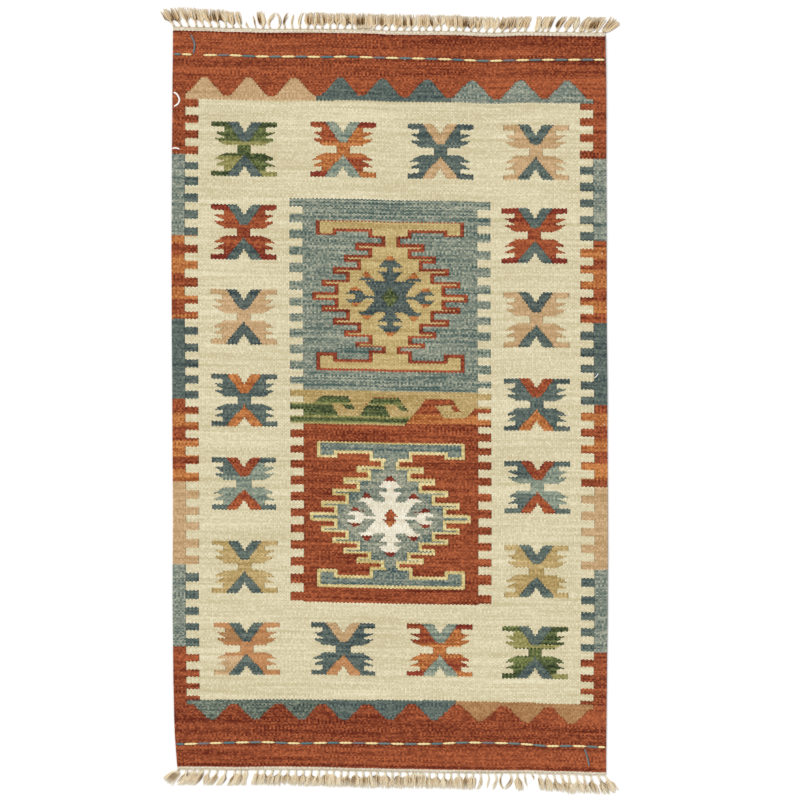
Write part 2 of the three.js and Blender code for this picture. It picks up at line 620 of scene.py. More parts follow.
# How far the teeth end past their even places, in mm, at the left and at the right.
DRIFT_OFFSET = 8
DRIFT_SPAN = 1400
TOOTH_DRIFT = [
    (0, 8, 2.5), (150, 8, 3), (214, 4.5, 1.5), (278, 1.5, 0), (309, -1.5, 0), (380, -0.5, 0), (450, 3, 1),
    (483, 1.5, 1.5), (518, 3.5, 0), (555, 6.5, -1.5), (620, 3, 1.5), (655, 3.5, 2.5), (721, 2, 2.5),
    (785, -2.5, 0), (818, -5, -1.5), (851, -5, -1), (924, -0.5, 0), (992, 2, 0.5), (1025, -1.5, 0),
    (1100, 1, 1), (1165, 4, 5), (1201, 5.5, 4), (1265, 1, 2.5), (1400, 1, 0),
]

# %% [markdown]
# Two blocks on each side change between orange and rust every inch or so. For each of the four the
# chart keeps the places, in mm from the start of the block, where the yarn was changed.

# %% Banded blocks
BANDED_STARTS = (429.0, 768.6)
BANDED_LENGTH = 170.0
BAND_CHANGES = (
    (0, 16, 41, 78, 107, 133, 164),
    (13, 38, 61, 100, 125, 151),
    (27, 56, 86, 118, 143),
    (18, 43, 71, 96, 122, 154),
)


def band_rows():
    """Rows of (place, 1 for orange or 0 for rust in each of the four blocks)."""
    places = sorted({0}.union(*BAND_CHANGES))
    counts = [[sum(change <= place for change in changes) for changes in BAND_CHANGES] for place in places]
    return [(place, *(count % 2 for count in row)) for place, row in zip(places, counts)]


def banded(along, on_right):
    """1 where a banded block is orange."""
    lower = along > (BANDED_STARTS[0] + BANDED_STARTS[1] + BANDED_LENGTH) / 2
    place = along - choose(lower, BANDED_STARTS[1], BANDED_STARTS[0])
    far_left, far_right, near_left, near_right = chart(place, BANDED_LENGTH, band_rows(), stepped=True)
    orange = choose(lower, choose(on_right, near_right, near_left), choose(on_right, far_right, far_left))
    return orange & between(place, 0, BANDED_LENGTH)


# %% Comb border group
def border_group():
    tree, (warp, along, below), outputs = new_group("comb border", ["Warp", "Along", "Yarn"], ["Yarn"])
    from_edge = math_node("MINIMUM", warp, WARPS - warp)
    on_right = warp > WARPS / 2
    left_drift, right_drift = chart(along, DRIFT_SPAN, raised(TOOTH_DRIFT, DRIFT_OFFSET))
    drift = choose(on_right, right_drift, left_drift) - DRIFT_OFFSET
    teeth = (along - drift - FIRST_BLOCK_END) / TOOTH_PITCH
    block = clamped(floor_of(teeth / BLOCK_TEETH) + 1, 0, len(BLOCKS) - 1)
    last = along > LAST_BLOCK_START
    (last_teeth,) = chart(along - LAST_BLOCK_START - 1, LAST_BLOCK_LENGTH, LAST_TEETH)
    teeth = choose(last, last_teeth, teeth)
    tooth = part_of(teeth) > 1 - TOOTH_SHARE
    reach = BORDER_WARPS + TOOTH_WARPS * tooth
    band, comb = [look_up(block, [yarn(name) for name in names]) for names in (BLOCKS, SHADED_TOOTH_YARNS)]
    own = choose(banded(along, on_right), yarn("orange"), choose(from_edge < BORDER_WARPS, band, comb))
    plug(choose(from_edge < reach, own, below), outputs["Yarn"])
    return tree


COMB_BORDER = border_group()

# %% [markdown]
# ## Dogtooth strips
# Between the rust ends and the cream field stands a row of blunt teeth, tan, slate and grey-blue.
# The weaver set them out by eye, so they are not evenly spaced. A chart turns the warp into a count
# of teeth, whole at each peak, and the distance from the nearest peak then gives the slanted edge.

# %% Dogtooth strips
STRIP_INSET = 7
BLUNT = 0.13
VALLEY_SHARE = 0.16
FAR_PEAKS = (17.2, 40.7, 65.0, 90.0, 112.6, 136.2, 160.3, 186.4, 211.3)
NEAR_PEAKS = (20.3, 43.6, 68.4, 91.1, 115.9, 139.6, 164.2, 189.2, 213.2)
FAR_STRIP = {"peak": 99.5, "valley": 136.0, "base": 146.0}
NEAR_STRIP = {"peak": 1430.6, "valley": 1398.6, "base": 1389.8}
# The strips bow a little: rows of (warp, mm towards the near end, mm towards the far end).
STRIP_BOW = [
    (0, 2.5, 0), (15, 2.5, 0), (36, 2.5, 2), (57, 2, 1), (79, 1.5, 2), (100, 0, 3), (121, 0.5, 5),
    (143, 0.5, 5.5), (164, 0.5, 5), (185, 0.5, 2.5), (207, 0.5, 2), (232, 0.5, 1),
]
FAR_COLOURS = ((77.4, "tan"), (149.2, "slate"), (WARPS, "grey_blue"))
NEAR_COLOURS = ((79.8, "pine_blue"), (151.3, "slate"), (WARPS, "bark"))


def dogtooth_group(name, peaks, strip, colours):
    tree, (warp, along, below), outputs = new_group(name, ["Warp", "Along", "Yarn"], ["Yarn"])
    first_gap, last_gap = peaks[1] - peaks[0], peaks[-1] - peaks[-2]
    rows = [(0, 1 - peaks[0] / first_gap)]
    rows += [(peak, number + 1) for number, peak in enumerate(peaks)]
    rows += [(WARPS, len(peaks) + (WARPS - peaks[-1]) / last_gap)]
    (count,) = chart(warp, WARPS, rows)
    lower, higher = chart(warp, WARPS, STRIP_BOW)
    towards = 1 if strip["base"] > strip["peak"] else -1
    along = along - lower if towards > 0 else along + higher
    slope = abs(part_of(count + 0.5) - 0.5) * 2
    rise = clamped((slope - BLUNT) / (1 - BLUNT - VALLEY_SHARE), 0, 1)
    edge = strip["peak"] + rise * (strip["valley"] - strip["peak"])
    mask = ((along - edge) * towards > 0) & ((strip["base"] - along) * towards > 0)
    mask = mask & between(warp, STRIP_INSET, WARPS - STRIP_INSET)
    own = yarn(colours[-1][1])
    for limit, colour in reversed(colours[:-1]):
        own = choose(warp < limit, yarn(colour), own)
    if towards < 0:
        first_row = (along < strip["base"] + BEAD_LENGTH) & (warp < colours[1][0])
        own = choose(first_row, yarn("slate"), own)
    plug(choose(mask, own, below), outputs["Yarn"])
    return tree


FAR_DOGTOOTH = dogtooth_group("far dogtooth", FAR_PEAKS, FAR_STRIP, FAR_COLOURS)
NEAR_DOGTOOTH = dogtooth_group("near dogtooth", NEAR_PEAKS, NEAR_STRIP, NEAR_COLOURS)

# %% [markdown]
# ## Claw motifs
# Eighteen small motifs stand round the field, each an X of four clawed arms with a V of a second
# yarn above and below. They all follow one chart. It is mirrored from side to side and, but for the
# two Vs, from end to end, so it only needs the distance from the middle. A table gives each motif the
# yarns of its parts.

# %% The chart of one motif: distance along, half width of the arms, of the two Vs and of their notch
CLAW_HEIGHT = 56.5
CLAW_CHART = [
    (0.0, 3.6, 0.0, 0.0, 0.0), (7.6, 3.6, 0.0, 0.0, 0.0), (7.6, 10.4, 0.0, 0.0, 0.0),
    (13.0, 12.6, 0.0, 0.4, 0.0), (15.6, 13.8, 0.0, 1.0, 0.0), (15.6, 13.8, 2.0, 1.0, 0.0),
    (22.4, 16.4, 3.2, 2.6, 0.0), (22.4, 11.1, 3.2, 2.6, 0.0), (24.6, 11.1, 3.6, 3.1, 0.0),
    (35.2, 16.4, 5.5, 5.5, 0.0), (36.0, 11.1, 5.7, 5.7, 0.3), (45.6, 11.1, 7.4, 7.8, 1.8),
    (45.6, 17.4, 7.4, 7.8, 1.8), (49.0, 17.4, 8.0, 8.6, 2.4), (56.5, 17.4, 9.3, 9.5, 3.8),
]
# The motifs from the fourth row on are shorter.
LONG_MOTIF_ROWS = 2.5
MOTIF_SHORTER = 0.045
BARS_FROM = 45.6
WAIST = (-9.5, 14.5)
UPPER_WAIST = (-17, -8.4)


# %% The yarns of the eighteen motifs
MOTIF_COLUMNS = (39.25, 91.25, 143.25, 194.25)
CM = 10
MOTIF_ROWS = (248.3, 420.8, 594.8, 770.7, 941.4, 1113.1, 1282.8)
# One motif has a cell of so many warps and mm to itself, and the first cell starts at this place.
CELL_WARPS = 52
CELL_LENGTH = 172.4
FIRST_CELL = (13, 162)
# A few stand a little off their place, in warps to the right and mm towards the near end.
SHIFT_OFFSET = 4
MOTIF_SHIFTS = {
    (0, 0): (-0.4, 0.7), (1, 0): (-0.5, 0.0), (2, 0): (-0.8, 1.4), (3, 0): (-0.7, -2.0), (4, 0): (-1.2, 0.0),
    (5, 0): (-0.9, 0.0), (6, 1): (-0.2, -0.5), (6, 2): (-0.5, -2.0), (6, 3): (-0.7, 0.0), (1, 3): (-0.4, 0.0),
    (4, 3): (0.5, 0.0), (5, 3): (-0.2, 2.5),
}
MOTIF_PARTS = (
    "top_left", "top_right", "waist", "bottom_left",
    "bottom_right", "upper_v", "lower_v", "far_left_bar",
    "far_right_bar", "near_left_bar", "near_right_bar", "upper_waist",
)


def motif(body, v, **special):
    """A motif's yarns by part: all arms of one yarn and both Vs of another, but for what is named."""
    parts = {part: v if part.endswith("_v") else body for part in MOTIF_PARTS}
    if "bars" in special:
        bars = special.pop("bars")
        parts.update({part: bars for part in MOTIF_PARTS if part.endswith("bar")})
    parts.update(special)
    return parts


RED_AND_ORANGE = motif(
    "red", "pale_blue", top_right="orange", waist="orange", bottom_left="orange", upper_waist="orange",
    far_right_bar="oxblood", near_left_bar="oxblood", near_right_bar="orange", far_left_bar="rust",
)
GREEN_FAR = motif(
    "moss", "dusk", upper_waist="olive", bottom_left="olive",
    far_left_bar="fir", far_right_bar="fir", near_left_bar="fir", near_right_bar="olive",
)
GREEN_NEAR = motif(
    "olive", "dusk", top_right="fir", waist="moss", bottom_left="moss", bottom_right="fir",
    far_left_bar="moss", far_right_bar="fir", near_left_bar="fir", near_right_bar="olive",
)
RED_AND_SLATE = motif("red", "slate", bars="oxblood")
MOTIFS = {
    (0, 0): GREEN_FAR,
    (0, 1): RED_AND_ORANGE,
    (0, 2): motif("slate", "tan", bars="navy"),
    (0, 3): motif("tan", "slate"),
    (1, 0): RED_AND_SLATE,
    (1, 3): RED_AND_SLATE,
    (2, 0): motif("tan", "navy"),
    (2, 3): motif("tan", "navy", lower_v="slate"),
    (3, 0): motif("slate", "orange", bars="navy"),
    (3, 3): motif("slate", "red", bars="navy", lower_v="orange"),
    (4, 0): motif("pale_blue", "red", bars="slate", top_left="slate"),
    (4, 3): motif("pale_blue", "red", bars="slate", top_left="slate", bottom_left="slate"),
    (5, 0): motif("mustard", "slate"),
    (5, 3): motif("mustard", "slate"),
    (6, 0): motif("peach", "slate", bottom_left="tan", near_left_bar="tan", top_left="bark"),
    (6, 1): motif("slate", "tan", bars="navy", lower_v="peach"),
    (6, 2): RED_AND_ORANGE,
    (6, 3): GREEN_NEAR,
}
print(len(MOTIFS), "motifs")


# %% Claw motif group
def motif_tables():
    """Three look-ups of four parts each, with a row for every place of the 7 by 4 layout."""
    empty = dict.fromkeys(MOTIF_PARTS, "cream")
    cells = [MOTIFS.get((row, column), empty) for row in range(7) for column in range(4)]
    parts = [MOTIF_PARTS[k:k + 4] for k in (0, 4, 8)]
    return [[tuple(yarn(cell[part]) for part in four) for cell in cells] for four in parts]


def claws_group():
    tree, (warp, along, below), outputs = new_group("claw motifs", ["Warp", "Along", "Yarn"], ["Yarn"])
    column = clamped(floor_of((warp - FIRST_CELL[0]) / CELL_WARPS), 0, 3)
    row = clamped(floor_of((along - FIRST_CELL[1]) / CELL_LENGTH), 0, 6)
    shifts = [MOTIF_SHIFTS.get((r, c), (0, 0)) for r in range(7) for c in range(4)]
    raised_shifts = [(x + SHIFT_OFFSET, y + SHIFT_OFFSET) for x, y in shifts]
    aside_by, down_by = look_up(row * 4 + column, raised_shifts)
    across = warp - look_up(column, MOTIF_COLUMNS) - (aside_by - SHIFT_OFFSET)
    # A chart holds numbers of up to 256, so the rows are looked up in cm.
    middle = look_up(row, [place / CM for place in MOTIF_ROWS]) * CM
    down = along - middle - (down_by - SHIFT_OFFSET)
    down = down * (1 + (row > LONG_MOTIF_ROWS) * MOTIF_SHORTER)
    arms, upper_half, lower_half, notch = chart(abs(down), CLAW_HEIGHT + 0.01, CLAW_CHART)
    inside = abs(down) < CLAW_HEIGHT
    aside = abs(across)
    first, second, third = [look_up(row * 4 + column, table) for table in motif_tables()]
    top_left, top_right, waist, bottom_left = first
    bottom_right, upper_v, lower_v, far_left_bar = second
    far_right_bar, near_left_bar, near_right_bar, upper_waist = third
    near, right, bar = down > 0, across > 0, abs(down) > BARS_FROM
    v_half = choose(near, lower_half, upper_half)
    near_arm = choose(right, bottom_right, bottom_left)
    far_arm = choose(right, top_right, top_left)
    arm = choose(near, near_arm, far_arm)
    near_bar = choose(right, near_right_bar, near_left_bar)
    far_bar = choose(right, far_right_bar, far_left_bar)
    bars = choose(near, near_bar, far_bar)
    arm = choose(bar, bars, arm)
    arm = choose(between(down, *WAIST), waist, arm)
    arm = choose(between(down, *UPPER_WAIST), upper_waist, arm)
    own = choose(aside < v_half, choose(near, lower_v, upper_v), arm)
    mask = inside & (aside < arms) & (1 - (aside < notch))
    plug(choose(mask, own, below), outputs["Yarn"])
    return tree


CLAW_MOTIFS = claws_group()

# %% [markdown]
# ## The middle panel
# The panel is woven in two halves, blue above and red below, with a running-dog band between them.
# Its sides are combs too, and there the teeth take the yarn of the half that they stand on.

# %% Panel sizes
PANEL_LEFT = 70
PANEL_RIGHT = 163
PANEL_TOP = 349.5
BAND_TOP = 746.0
BAND_BOTTOM = 816.5
PANEL_BOTTOM = 1185.5
# Places in mm from the top of the panel, and the count of teeth there.
PANEL_SPAN = 850
PANEL_TEETH = [(0, 0), (394.7, 12), (479.1, 15), (776.2, 24), (815.8, 25), (PANEL_SPAN, 26)]
PANEL_TOOTH_SHARE = 0.52
# How far the panel's teeth stand past those places, in mm, at the left and at the right.
PANEL_DRIFT = [
    (0, 0, 0), (66, 0, 1), (132, 3, 6), (165, 6, 8), (200, 9.5, 9.5), (270, 8, 8), (330, 8.5, 11),
    (372, 8.5, 12), (396, 2, 4.5), (424, 0, 2), (480, 0, 2), (512, 0, -1), (543, -3, -6), (575, -3, -6),
    (640, -2, -6), (675, -2, -3.5), (775, 1, -3), (815, 0, -1), (850, 0, 0),
]


# %% Medallion outline: rows of (along, half width in warps, hook from, hook to)
MEDALLION_CHART = [
    (0.0, 41.5, 0, 0), (8.4, 29.7, 0, 0), (20.5, 37.0, 0, 0), (34.5, 23.8, 0, 0),
    (46.8, 31.0, 0, 0), (60.8, 17.5, 0, 0), (70.5, 24.5, 0, 0), (84.6, 11.5, 0, 0),
    (94.5, 18.3, 0, 0), (108.6, 5.0, 0, 0), (118.0, 11.4, 0, 0), (123.7, 11.4, 28.4, 39.5),
    (133.9, 39.5, 0, 0), (158.5, 0, 0, 0),
]
MEDALLION_SPAN = 165
OUTLINE_WARPS = 2
OUTLINE_LENGTH = 5.6


def runs_at(rows, place):
    """The runs of a stepped chart at a place, as a list of (from, to)."""
    found = [row for row in rows if row[0] <= abs(place)][-1]
    return [(-1, found[1]), (found[2], found[3])] if found[3] else [(-1, found[1])]


def inset(rows, warps, length):
    """The chart of what is left inside an outline that is so many warps wide and mm long."""
    places = sorted({max(0.0, row[0] + shift) for row in rows for shift in (-length, length)} | {0.0})
    made = []
    for place in places:
        kept = [(-1, WARPS)]
        for probe in np.linspace(place + 0.01 - length, place + 0.01 + length, 41):
            runs = runs_at(rows, probe)
            kept = [(max(a, c), min(b, d)) for a, b in kept for c, d in runs if min(b, d) > max(a, c)]
        kept = [(a + warps * (a > 0), b - warps) for a, b in kept]
        kept = [(a, b) for a, b in kept if b > max(a, 0)]
        body = max([b for a, b in kept if a <= 0] + [0])
        hook = next(((a, b) for a, b in kept if a > 0), (0, 0))
        if not made or made[-1][1:] != (body, *hook):
            made.append((place, body, *hook))
    return made


MEDALLION_FILL = inset(MEDALLION_CHART, OUTLINE_WARPS, OUTLINE_LENGTH)
print("fill chart:", len(MEDALLION_FILL), "rows")

# %% Star chart: rows of (along, body half width, head from, head to), caps as (along, from, to)
STAR_CHART = [
    (0.0, 18.7, 0, 0), (2.8, 18.7, 0, 0), (2.8, 7.9, 13.4, 18.7), (5.0, 8.3, 13.8, 18.7),
    (5.0, 8.3, 13.9, 23.4), (12.7, 9.7, 15.9, 21.7), (12.7, 9.7, 0, 0), (29.0, 12.7, 0, 0),
    (33.4, 13.9, 0, 0), (33.4, 2.6, 7.8, 17.2), (40.5, 3.2, 9.5, 15.3), (40.5, 3.2, 0, 0),
    (53.5, 6.3, 0, 0), (53.5, 1.9, 0, 0), (62.5, 1.9, 0, 0), (62.5, 6.6, 0, 0), (77.0, 3.0, 0, 0),
    (77.0, 0, 0, 0),
]
STAR_CAPS = [
    (0.0, 0, 0), (12.7, 0, 0), (12.7, 15.8, 21.8), (21.6, 17.9, 19.6), (21.6, 0, 0), (40.5, 0, 0),
    (40.5, 9.4, 15.4), (52.0, 11.9, 13.2), (52.0, 0, 0), (77.0, 0, 0), (77.0, -1, 3.1),
    (87.0, -1, 0.9), (87.0, 0, 0),
]
STAR_SPAN = 90.0
STAR_LENGTH = 78
CAP_ROWS = ((12.8, 21.5), (40.6, 51.9), (77.1, 86.9))
DIAMOND_WARPS = 4.6
DIAMOND_LENGTH = 21


# %% Medallion group: 1 outline, 2 fill, 3 star, 4 cap, 5 diamond, 0 outside
def medallion_group():
    inputs = ["Across", "Away", "Star Away", "Point Warps"]
    tree, wires, outputs = new_group("medallion", inputs, ["Outline", "Fill", "Star", "Cap", "Diamond"])
    across, away, star_away, point = wires
    aside = abs(across)
    first_row = MEDALLION_CHART[1][0]
    longer = (away < first_row) * point
    half, hook_from, hook_to = chart(away, MEDALLION_SPAN, MEDALLION_CHART, stepped=True)
    plug((aside < half + longer) | between(aside, hook_from, hook_to), outputs["Outline"])
    half, hook_from, hook_to = chart(away, MEDALLION_SPAN, MEDALLION_FILL, stepped=True)
    longer = (away < first_row - OUTLINE_LENGTH) * point
    plug((aside < half + longer) | between(aside, hook_from, hook_to), outputs["Fill"])
    body, head_from, head_to = chart(star_away, STAR_SPAN, STAR_CHART)
    plug(((aside < body) | between(aside, head_from, head_to)) & (star_away < STAR_LENGTH), outputs["Star"])
    cap_from, cap_to = chart(star_away, STAR_SPAN, raised(STAR_CAPS, 1))
    plug(between(aside, cap_from - 1, cap_to - 1) & in_any(star_away, CAP_ROWS), outputs["Cap"])
    plug((aside / DIAMOND_WARPS + star_away / DIAMOND_LENGTH) < 1, outputs["Diamond"])
    return tree


MEDALLION = medallion_group()


# %% Running-dog hooks: rows of (along, body from, body to, tip from, tip to)
DOG_LENGTH = 70.5
DOG_SHIFT = 0.8
DOGS = {
    "first": [
        (0.0, 0, 0, 0, 0), (12.2, 0, 0, 0, 0), (12.2, 80.6, 94.6, 0, 0), (26.5, 76.6, 96.4, 0, 0),
        (26.5, 69, 85.2, 91.0, 96.4), (39.5, 69, 87.4, 94.0, 98.4), (39.5, 69, 87.4, 0, 0),
        (53.0, 69, 89.6, 0, 0), (53.0, 69, 129.4, 0, 0), (68.5, 69, 126.2, 0, 0),
        (68.5, 0, 0, 0, 0),
    ],
    "second": [
        (0.0, 0, 0, 0, 0), (13.2, 0, 0, 0, 0), (13.2, 108.2, 121.6, 0, 0),
        (27.0, 105.4, 123.6, 0, 0), (27.0, 105.4, 113.4, 119.4, 123.6),
        (40.5, 102.8, 115.2, 123.2, 127.0), (40.5, 102.8, 115.2, 0, 0), (53.0, 100.8, 117.2, 0, 0),
        (53.0, 0, 0, 0, 0),
    ],
    "third": [
        (0.0, 0, 0, 0, 0), (14.2, 0, 0, 0, 0), (14.2, 136.4, 150.0, 0, 0),
        (27.8, 133.6, 152.2, 0, 0), (27.8, 133.6, 141.0, 149.2, 152.2),
        (40.5, 131.0, 143.2, 151.4, 154.6), (40.5, 131.0, 143.2, 0, 0), (54.0, 128.4, 145.4, 0, 0),
        (54.0, 128.4, 164.0, 0, 0), (70.5, 124.8, 164.0, 0, 0),
    ],
}
RIGHT_SWELL = [(0.0, 170), (33.0, 170), (33.0, 162.4), (54.0, 157.0), (70.5, 157.0)]
DARK_ROWS = ((30.5, 53.0), (57.5, 65.5), (11, 19.6))
LIGHT_ROWS = ((53.0, 57.5), (65.5, 71), (26.5, 30.5))
SECOND_MOSS_ROWS = (13, 25)
ORANGE_ROWS = (46, 66)
ORANGE_FROM_WARP = 126


def dog_group():
    """The band between the halves: mustard, with green hooks at the left and a rust one at the right."""
    tree, (warp, down), outputs = new_group("running dog", ["Warp", "Down"], ["Yarn"])
    own = warp * 0 + yarn("mustard")
    dark, light = in_any(down, DARK_ROWS), in_any(down, LIGHT_ROWS)
    green = choose(dark, yarn("fir"), choose(light, yarn("olive"), yarn("moss")))
    second_green = choose(between(down, *SECOND_MOSS_ROWS), yarn("moss"), green)
    is_orange = between(down, *ORANGE_ROWS) & (warp > ORANGE_FROM_WARP)
    rust = choose(is_orange, yarn("orange"), yarn("rust"))
    for name, colour in (("first", green), ("second", second_green), ("third", rust)):
        body_from, body_to, tip_from, tip_to = chart(down, DOG_LENGTH, DOGS[name])
        own = choose(between(warp, body_from, body_to) | between(warp, tip_from, tip_to), colour, own)
    (swell,) = chart(down, DOG_LENGTH, RIGHT_SWELL)
    own = choose(warp > swell, rust, own)
    plug(own, outputs["Yarn"])
    return tree


RUNNING_DOG = dog_group()

# %% [markdown]
# The weaver did not beat all rows alike, so the four halves of the two medallions differ in length.
# For each half a list pairs places on the rug, in mm from the middle of its medallion, with places on
# the chart. One sloped chart then turns the first into the second.

# %% Panel group
CENTRE_WARP = 116.6
FAR_MEDALLION = 552.5
NEAR_MEDALLION = 1009.0
CHART_PLACES = (0, 27.5, 53.8, 77.5, 101.3, 118, 133.9, 158.5, 170)
HALVES = (
    (0, 27.9, 53.3, 79.2, 102.5, 122.6, 133.9, 162.4, 175),
    (0, 25.0, 51.1, 76.2, 99.0, 109.5, 128.5, 153.5, 165),
    (0, 26.0, 51.0, 75.5, 99.5, 117, 132.8, 158.0, 170),
    (0, 25.0, 47.4, 68.6, 87.5, 101.0, 119.0, 145.0, 157),
)
HALF_SPAN = 157.0


def half_rows():
    """Rows of (place on the rug, place on the chart in each of the four halves)."""
    places = sorted({0.0, HALF_SPAN}.union(*(set(half[1:-1]) for half in HALVES)))
    return [(place, *(float(np.interp(place, half, CHART_PLACES)) for half in HALVES)) for place in places]


# %% Where the parts of the panel change
POINT_WARPS = 1.5
OUTSIDE = 20
GREEN_CHANGE = 2
RED_CHANGE = 5
EYE_WARPS = 1.6
EYE_LENGTH = 3.5
BAR_START = 118.0
NEAR_DRIFT = 0.65
STEPS_FROM = 29.0
STEPS_SLOPE = 0.235
STAR_SHORTER = 0.09


def panel_group():
    tree, (warp, along, below), outputs = new_group("middle panel", ["Warp", "Along", "Yarn"], ["Yarn"])
    left_drift, right_drift = chart(along - PANEL_TOP, PANEL_SPAN, raised(PANEL_DRIFT, DRIFT_OFFSET))
    drift = choose(warp > CENTRE_WARP, right_drift, left_drift) - DRIFT_OFFSET
    (teeth,) = chart(along - PANEL_TOP - drift, PANEL_SPAN, PANEL_TEETH)
    tooth = part_of(teeth) < PANEL_TOOTH_SHARE
    reach = TOOTH_WARPS * tooth
    mask = between(warp, PANEL_LEFT - reach, PANEL_RIGHT + reach) & between(along, PANEL_TOP, PANEL_BOTTOM)
    far_half = along < BAND_TOP
    own = choose(far_half, yarn("panel_blue"), yarn("rust"))
    in_band = between(along, BAND_TOP, BAND_BOTTOM)
    down = clamped(along - BAND_TOP, 0, DOG_LENGTH)
    band_warp = clamped(warp + DOG_SHIFT, PANEL_LEFT, PANEL_RIGHT)
    own = choose(in_band, place_group(tree, RUNNING_DOG, band_warp, down), own)
    centre = choose(far_half, FAR_MEDALLION, NEAR_MEDALLION)
    down = along - centre
    lower = down > 0
    from_centre = clamped(abs(down), 0, HALF_SPAN)
    far_upper, far_lower, near_upper, near_lower = chart(from_centre, HALF_SPAN, half_rows())
    charted = choose(far_half, choose(lower, far_lower, far_upper), choose(lower, near_lower, near_upper))
    charted = charted + (abs(down) > HALF_SPAN) * OUTSIDE
    longer = choose(far_half, 0.0, POINT_WARPS)
    drift = (1 - far_half) * (charted < BAR_START) * NEAR_DRIFT
    across = warp - CENTRE_WARP + drift
    star_down = abs(down) * (1 + lower * STAR_SHORTER)
    outline, fill, star, cap, diamond = place_group(tree, MEDALLION, across, charted, star_down, longer)
    step = abs(across) > STEPS_FROM - STEPS_SLOPE * charted
    pick = lambda far, near: choose(far_half, yarn(far), yarn(near))
    own = choose(outline, pick("brick", "straw"), own)
    own = choose(fill, pick("camel", "mist"), own)
    own = choose(fill & step & (1 - far_half), yarn("lake"), own)
    own = choose(star, pick("navy", "ivory"), own)
    own = choose(cap, pick("orange", "oxblood"), own)
    green = choose(down > GREEN_CHANGE, yarn("moss"), yarn("fir"))
    red = choose(down > RED_CHANGE, yarn("orange"), yarn("red"))
    eye = (abs(across) > EYE_WARPS) & (abs(down) < EYE_LENGTH)
    own = choose(diamond, choose(far_half, green, choose(eye, yarn("ivory"), red)), own)
    plug(choose(mask, own, below), outputs["Yarn"])
    return tree


MIDDLE_PANEL = panel_group()

# %% [markdown]
# ## The whole chart
# The layers are laid over each other in the weaver's order: the cream field between its two rust
# ends, the dogtooth strips, the borders, the claws and the panel, and last the cotton webs.


# %% Whole chart
BORDER_END = 1392.5


def chart_group():
    tree, (warp, along, fine_along), outputs = new_group("whole chart", ["Warp", "Along", "Fine"], ["Yarn"])
    in_field = between(along, FAR_STRIP["base"], NEAR_STRIP["base"])
    layer = choose(in_field, yarn("cream"), yarn("rust"))
    layer = place_group(tree, CLAW_MOTIFS, warp, along, layer)
    layer = place_group(tree, MIDDLE_PANEL, warp, along, layer)
    in_border = between(along, FAR_STRIP["base"], BORDER_END)
    layer = choose(in_border, place_group(tree, COMB_BORDER, warp, along, layer), layer)
    layer = place_group(tree, FAR_DOGTOOTH, warp, along, layer)
    layer = place_group(tree, NEAR_DOGTOOTH, warp, along, layer)
    web = (fine_along < FAR_WEB) | (fine_along > LOOM_LENGTH - NEAR_WEB)
    plug(choose(web, yarn("web"), layer), outputs["Yarn"])
    return tree


WHOLE_CHART = chart_group()

# %% [markdown]
# ## Heather
# Handspun wool is never even. Three things change its tone: each bead on its own, long streaks along
# the weft where a thicker or darker stretch of yarn went in, and broad bands where a dye lot changed.


# %% Heather group
def noise(tree, x, y, detail=2.0):
    """A soft noise from 0 to 1 at a place."""
    place = tree.nodes.new("ShaderNodeCombineXYZ")
    plug(x, place.inputs["X"])
    plug(y, place.inputs["Y"])
    node = tree.nodes.new("ShaderNodeTexNoise")
    node.noise_dimensions = "2D"
    node.inputs["Scale"].default_value = 1.0
    node.inputs["Detail"].default_value = detail
    tree.links.new(place.outputs[0], node.inputs["Vector"])
    return Wire(node.outputs["Fac"])


def speck(tree, x, y):
    """A plain random value from 0 to 1 for each whole place."""
    place = tree.nodes.new("ShaderNodeCombineXYZ")
    plug(x, place.inputs["X"])
    plug(y, place.inputs["Y"])
    node = tree.nodes.new("ShaderNodeTexWhiteNoise")
    node.noise_dimensions = "2D"
    tree.links.new(place.outputs[0], node.inputs["Vector"])
    return Wire(node.outputs["Value"])


# Scales of the noises across the warps and along them: one pass of weft, a streak, a dye lot.
PASS_SCALE = (0.025, 0.83)
STREAK_SCALE = (0.014, 0.13)
LOT_SCALE = (0.01, 0.018)
STREAK_SHIFT = 7
LOT_SHIFT = 31
BEAD_MEAN = 0.33
BEAD_SPREAD = 1.0
PASS_SPREAD = 1.4
STREAK_SPREAD = 1.6
LOT_SPREAD = 0.5
END_CALM = 0.7


def heather_group():
    tree, (warp, along, row), outputs = new_group("heather", ["Warp", "Along", "Row"], ["Tone"])
    weft = along / (BEAD_LENGTH / 2)
    chance = speck(tree, warp, row)
    bead = chance * chance - BEAD_MEAN
    one_pass = noise(tree, warp * PASS_SCALE[0], weft * PASS_SCALE[1], 0.0) - 0.5
    streak = noise(tree, warp * STREAK_SCALE[0] + STREAK_SHIFT, along * STREAK_SCALE[1], 1.0) - 0.5
    lot = noise(tree, warp * LOT_SCALE[0] + LOT_SHIFT, along * LOT_SCALE[1], 2.0) - 0.5
    tone = 0.5 + bead * BEAD_SPREAD + one_pass * PASS_SPREAD
    in_ends = (along < FAR_STRIP["base"]) | (along > NEAR_STRIP["base"])
    calm = 1 - in_ends * END_CALM
    plug(tone + (streak * STREAK_SPREAD + lot * LOT_SPREAD) * calm, outputs["Tone"])
    return tree


HEATHER = heather_group()
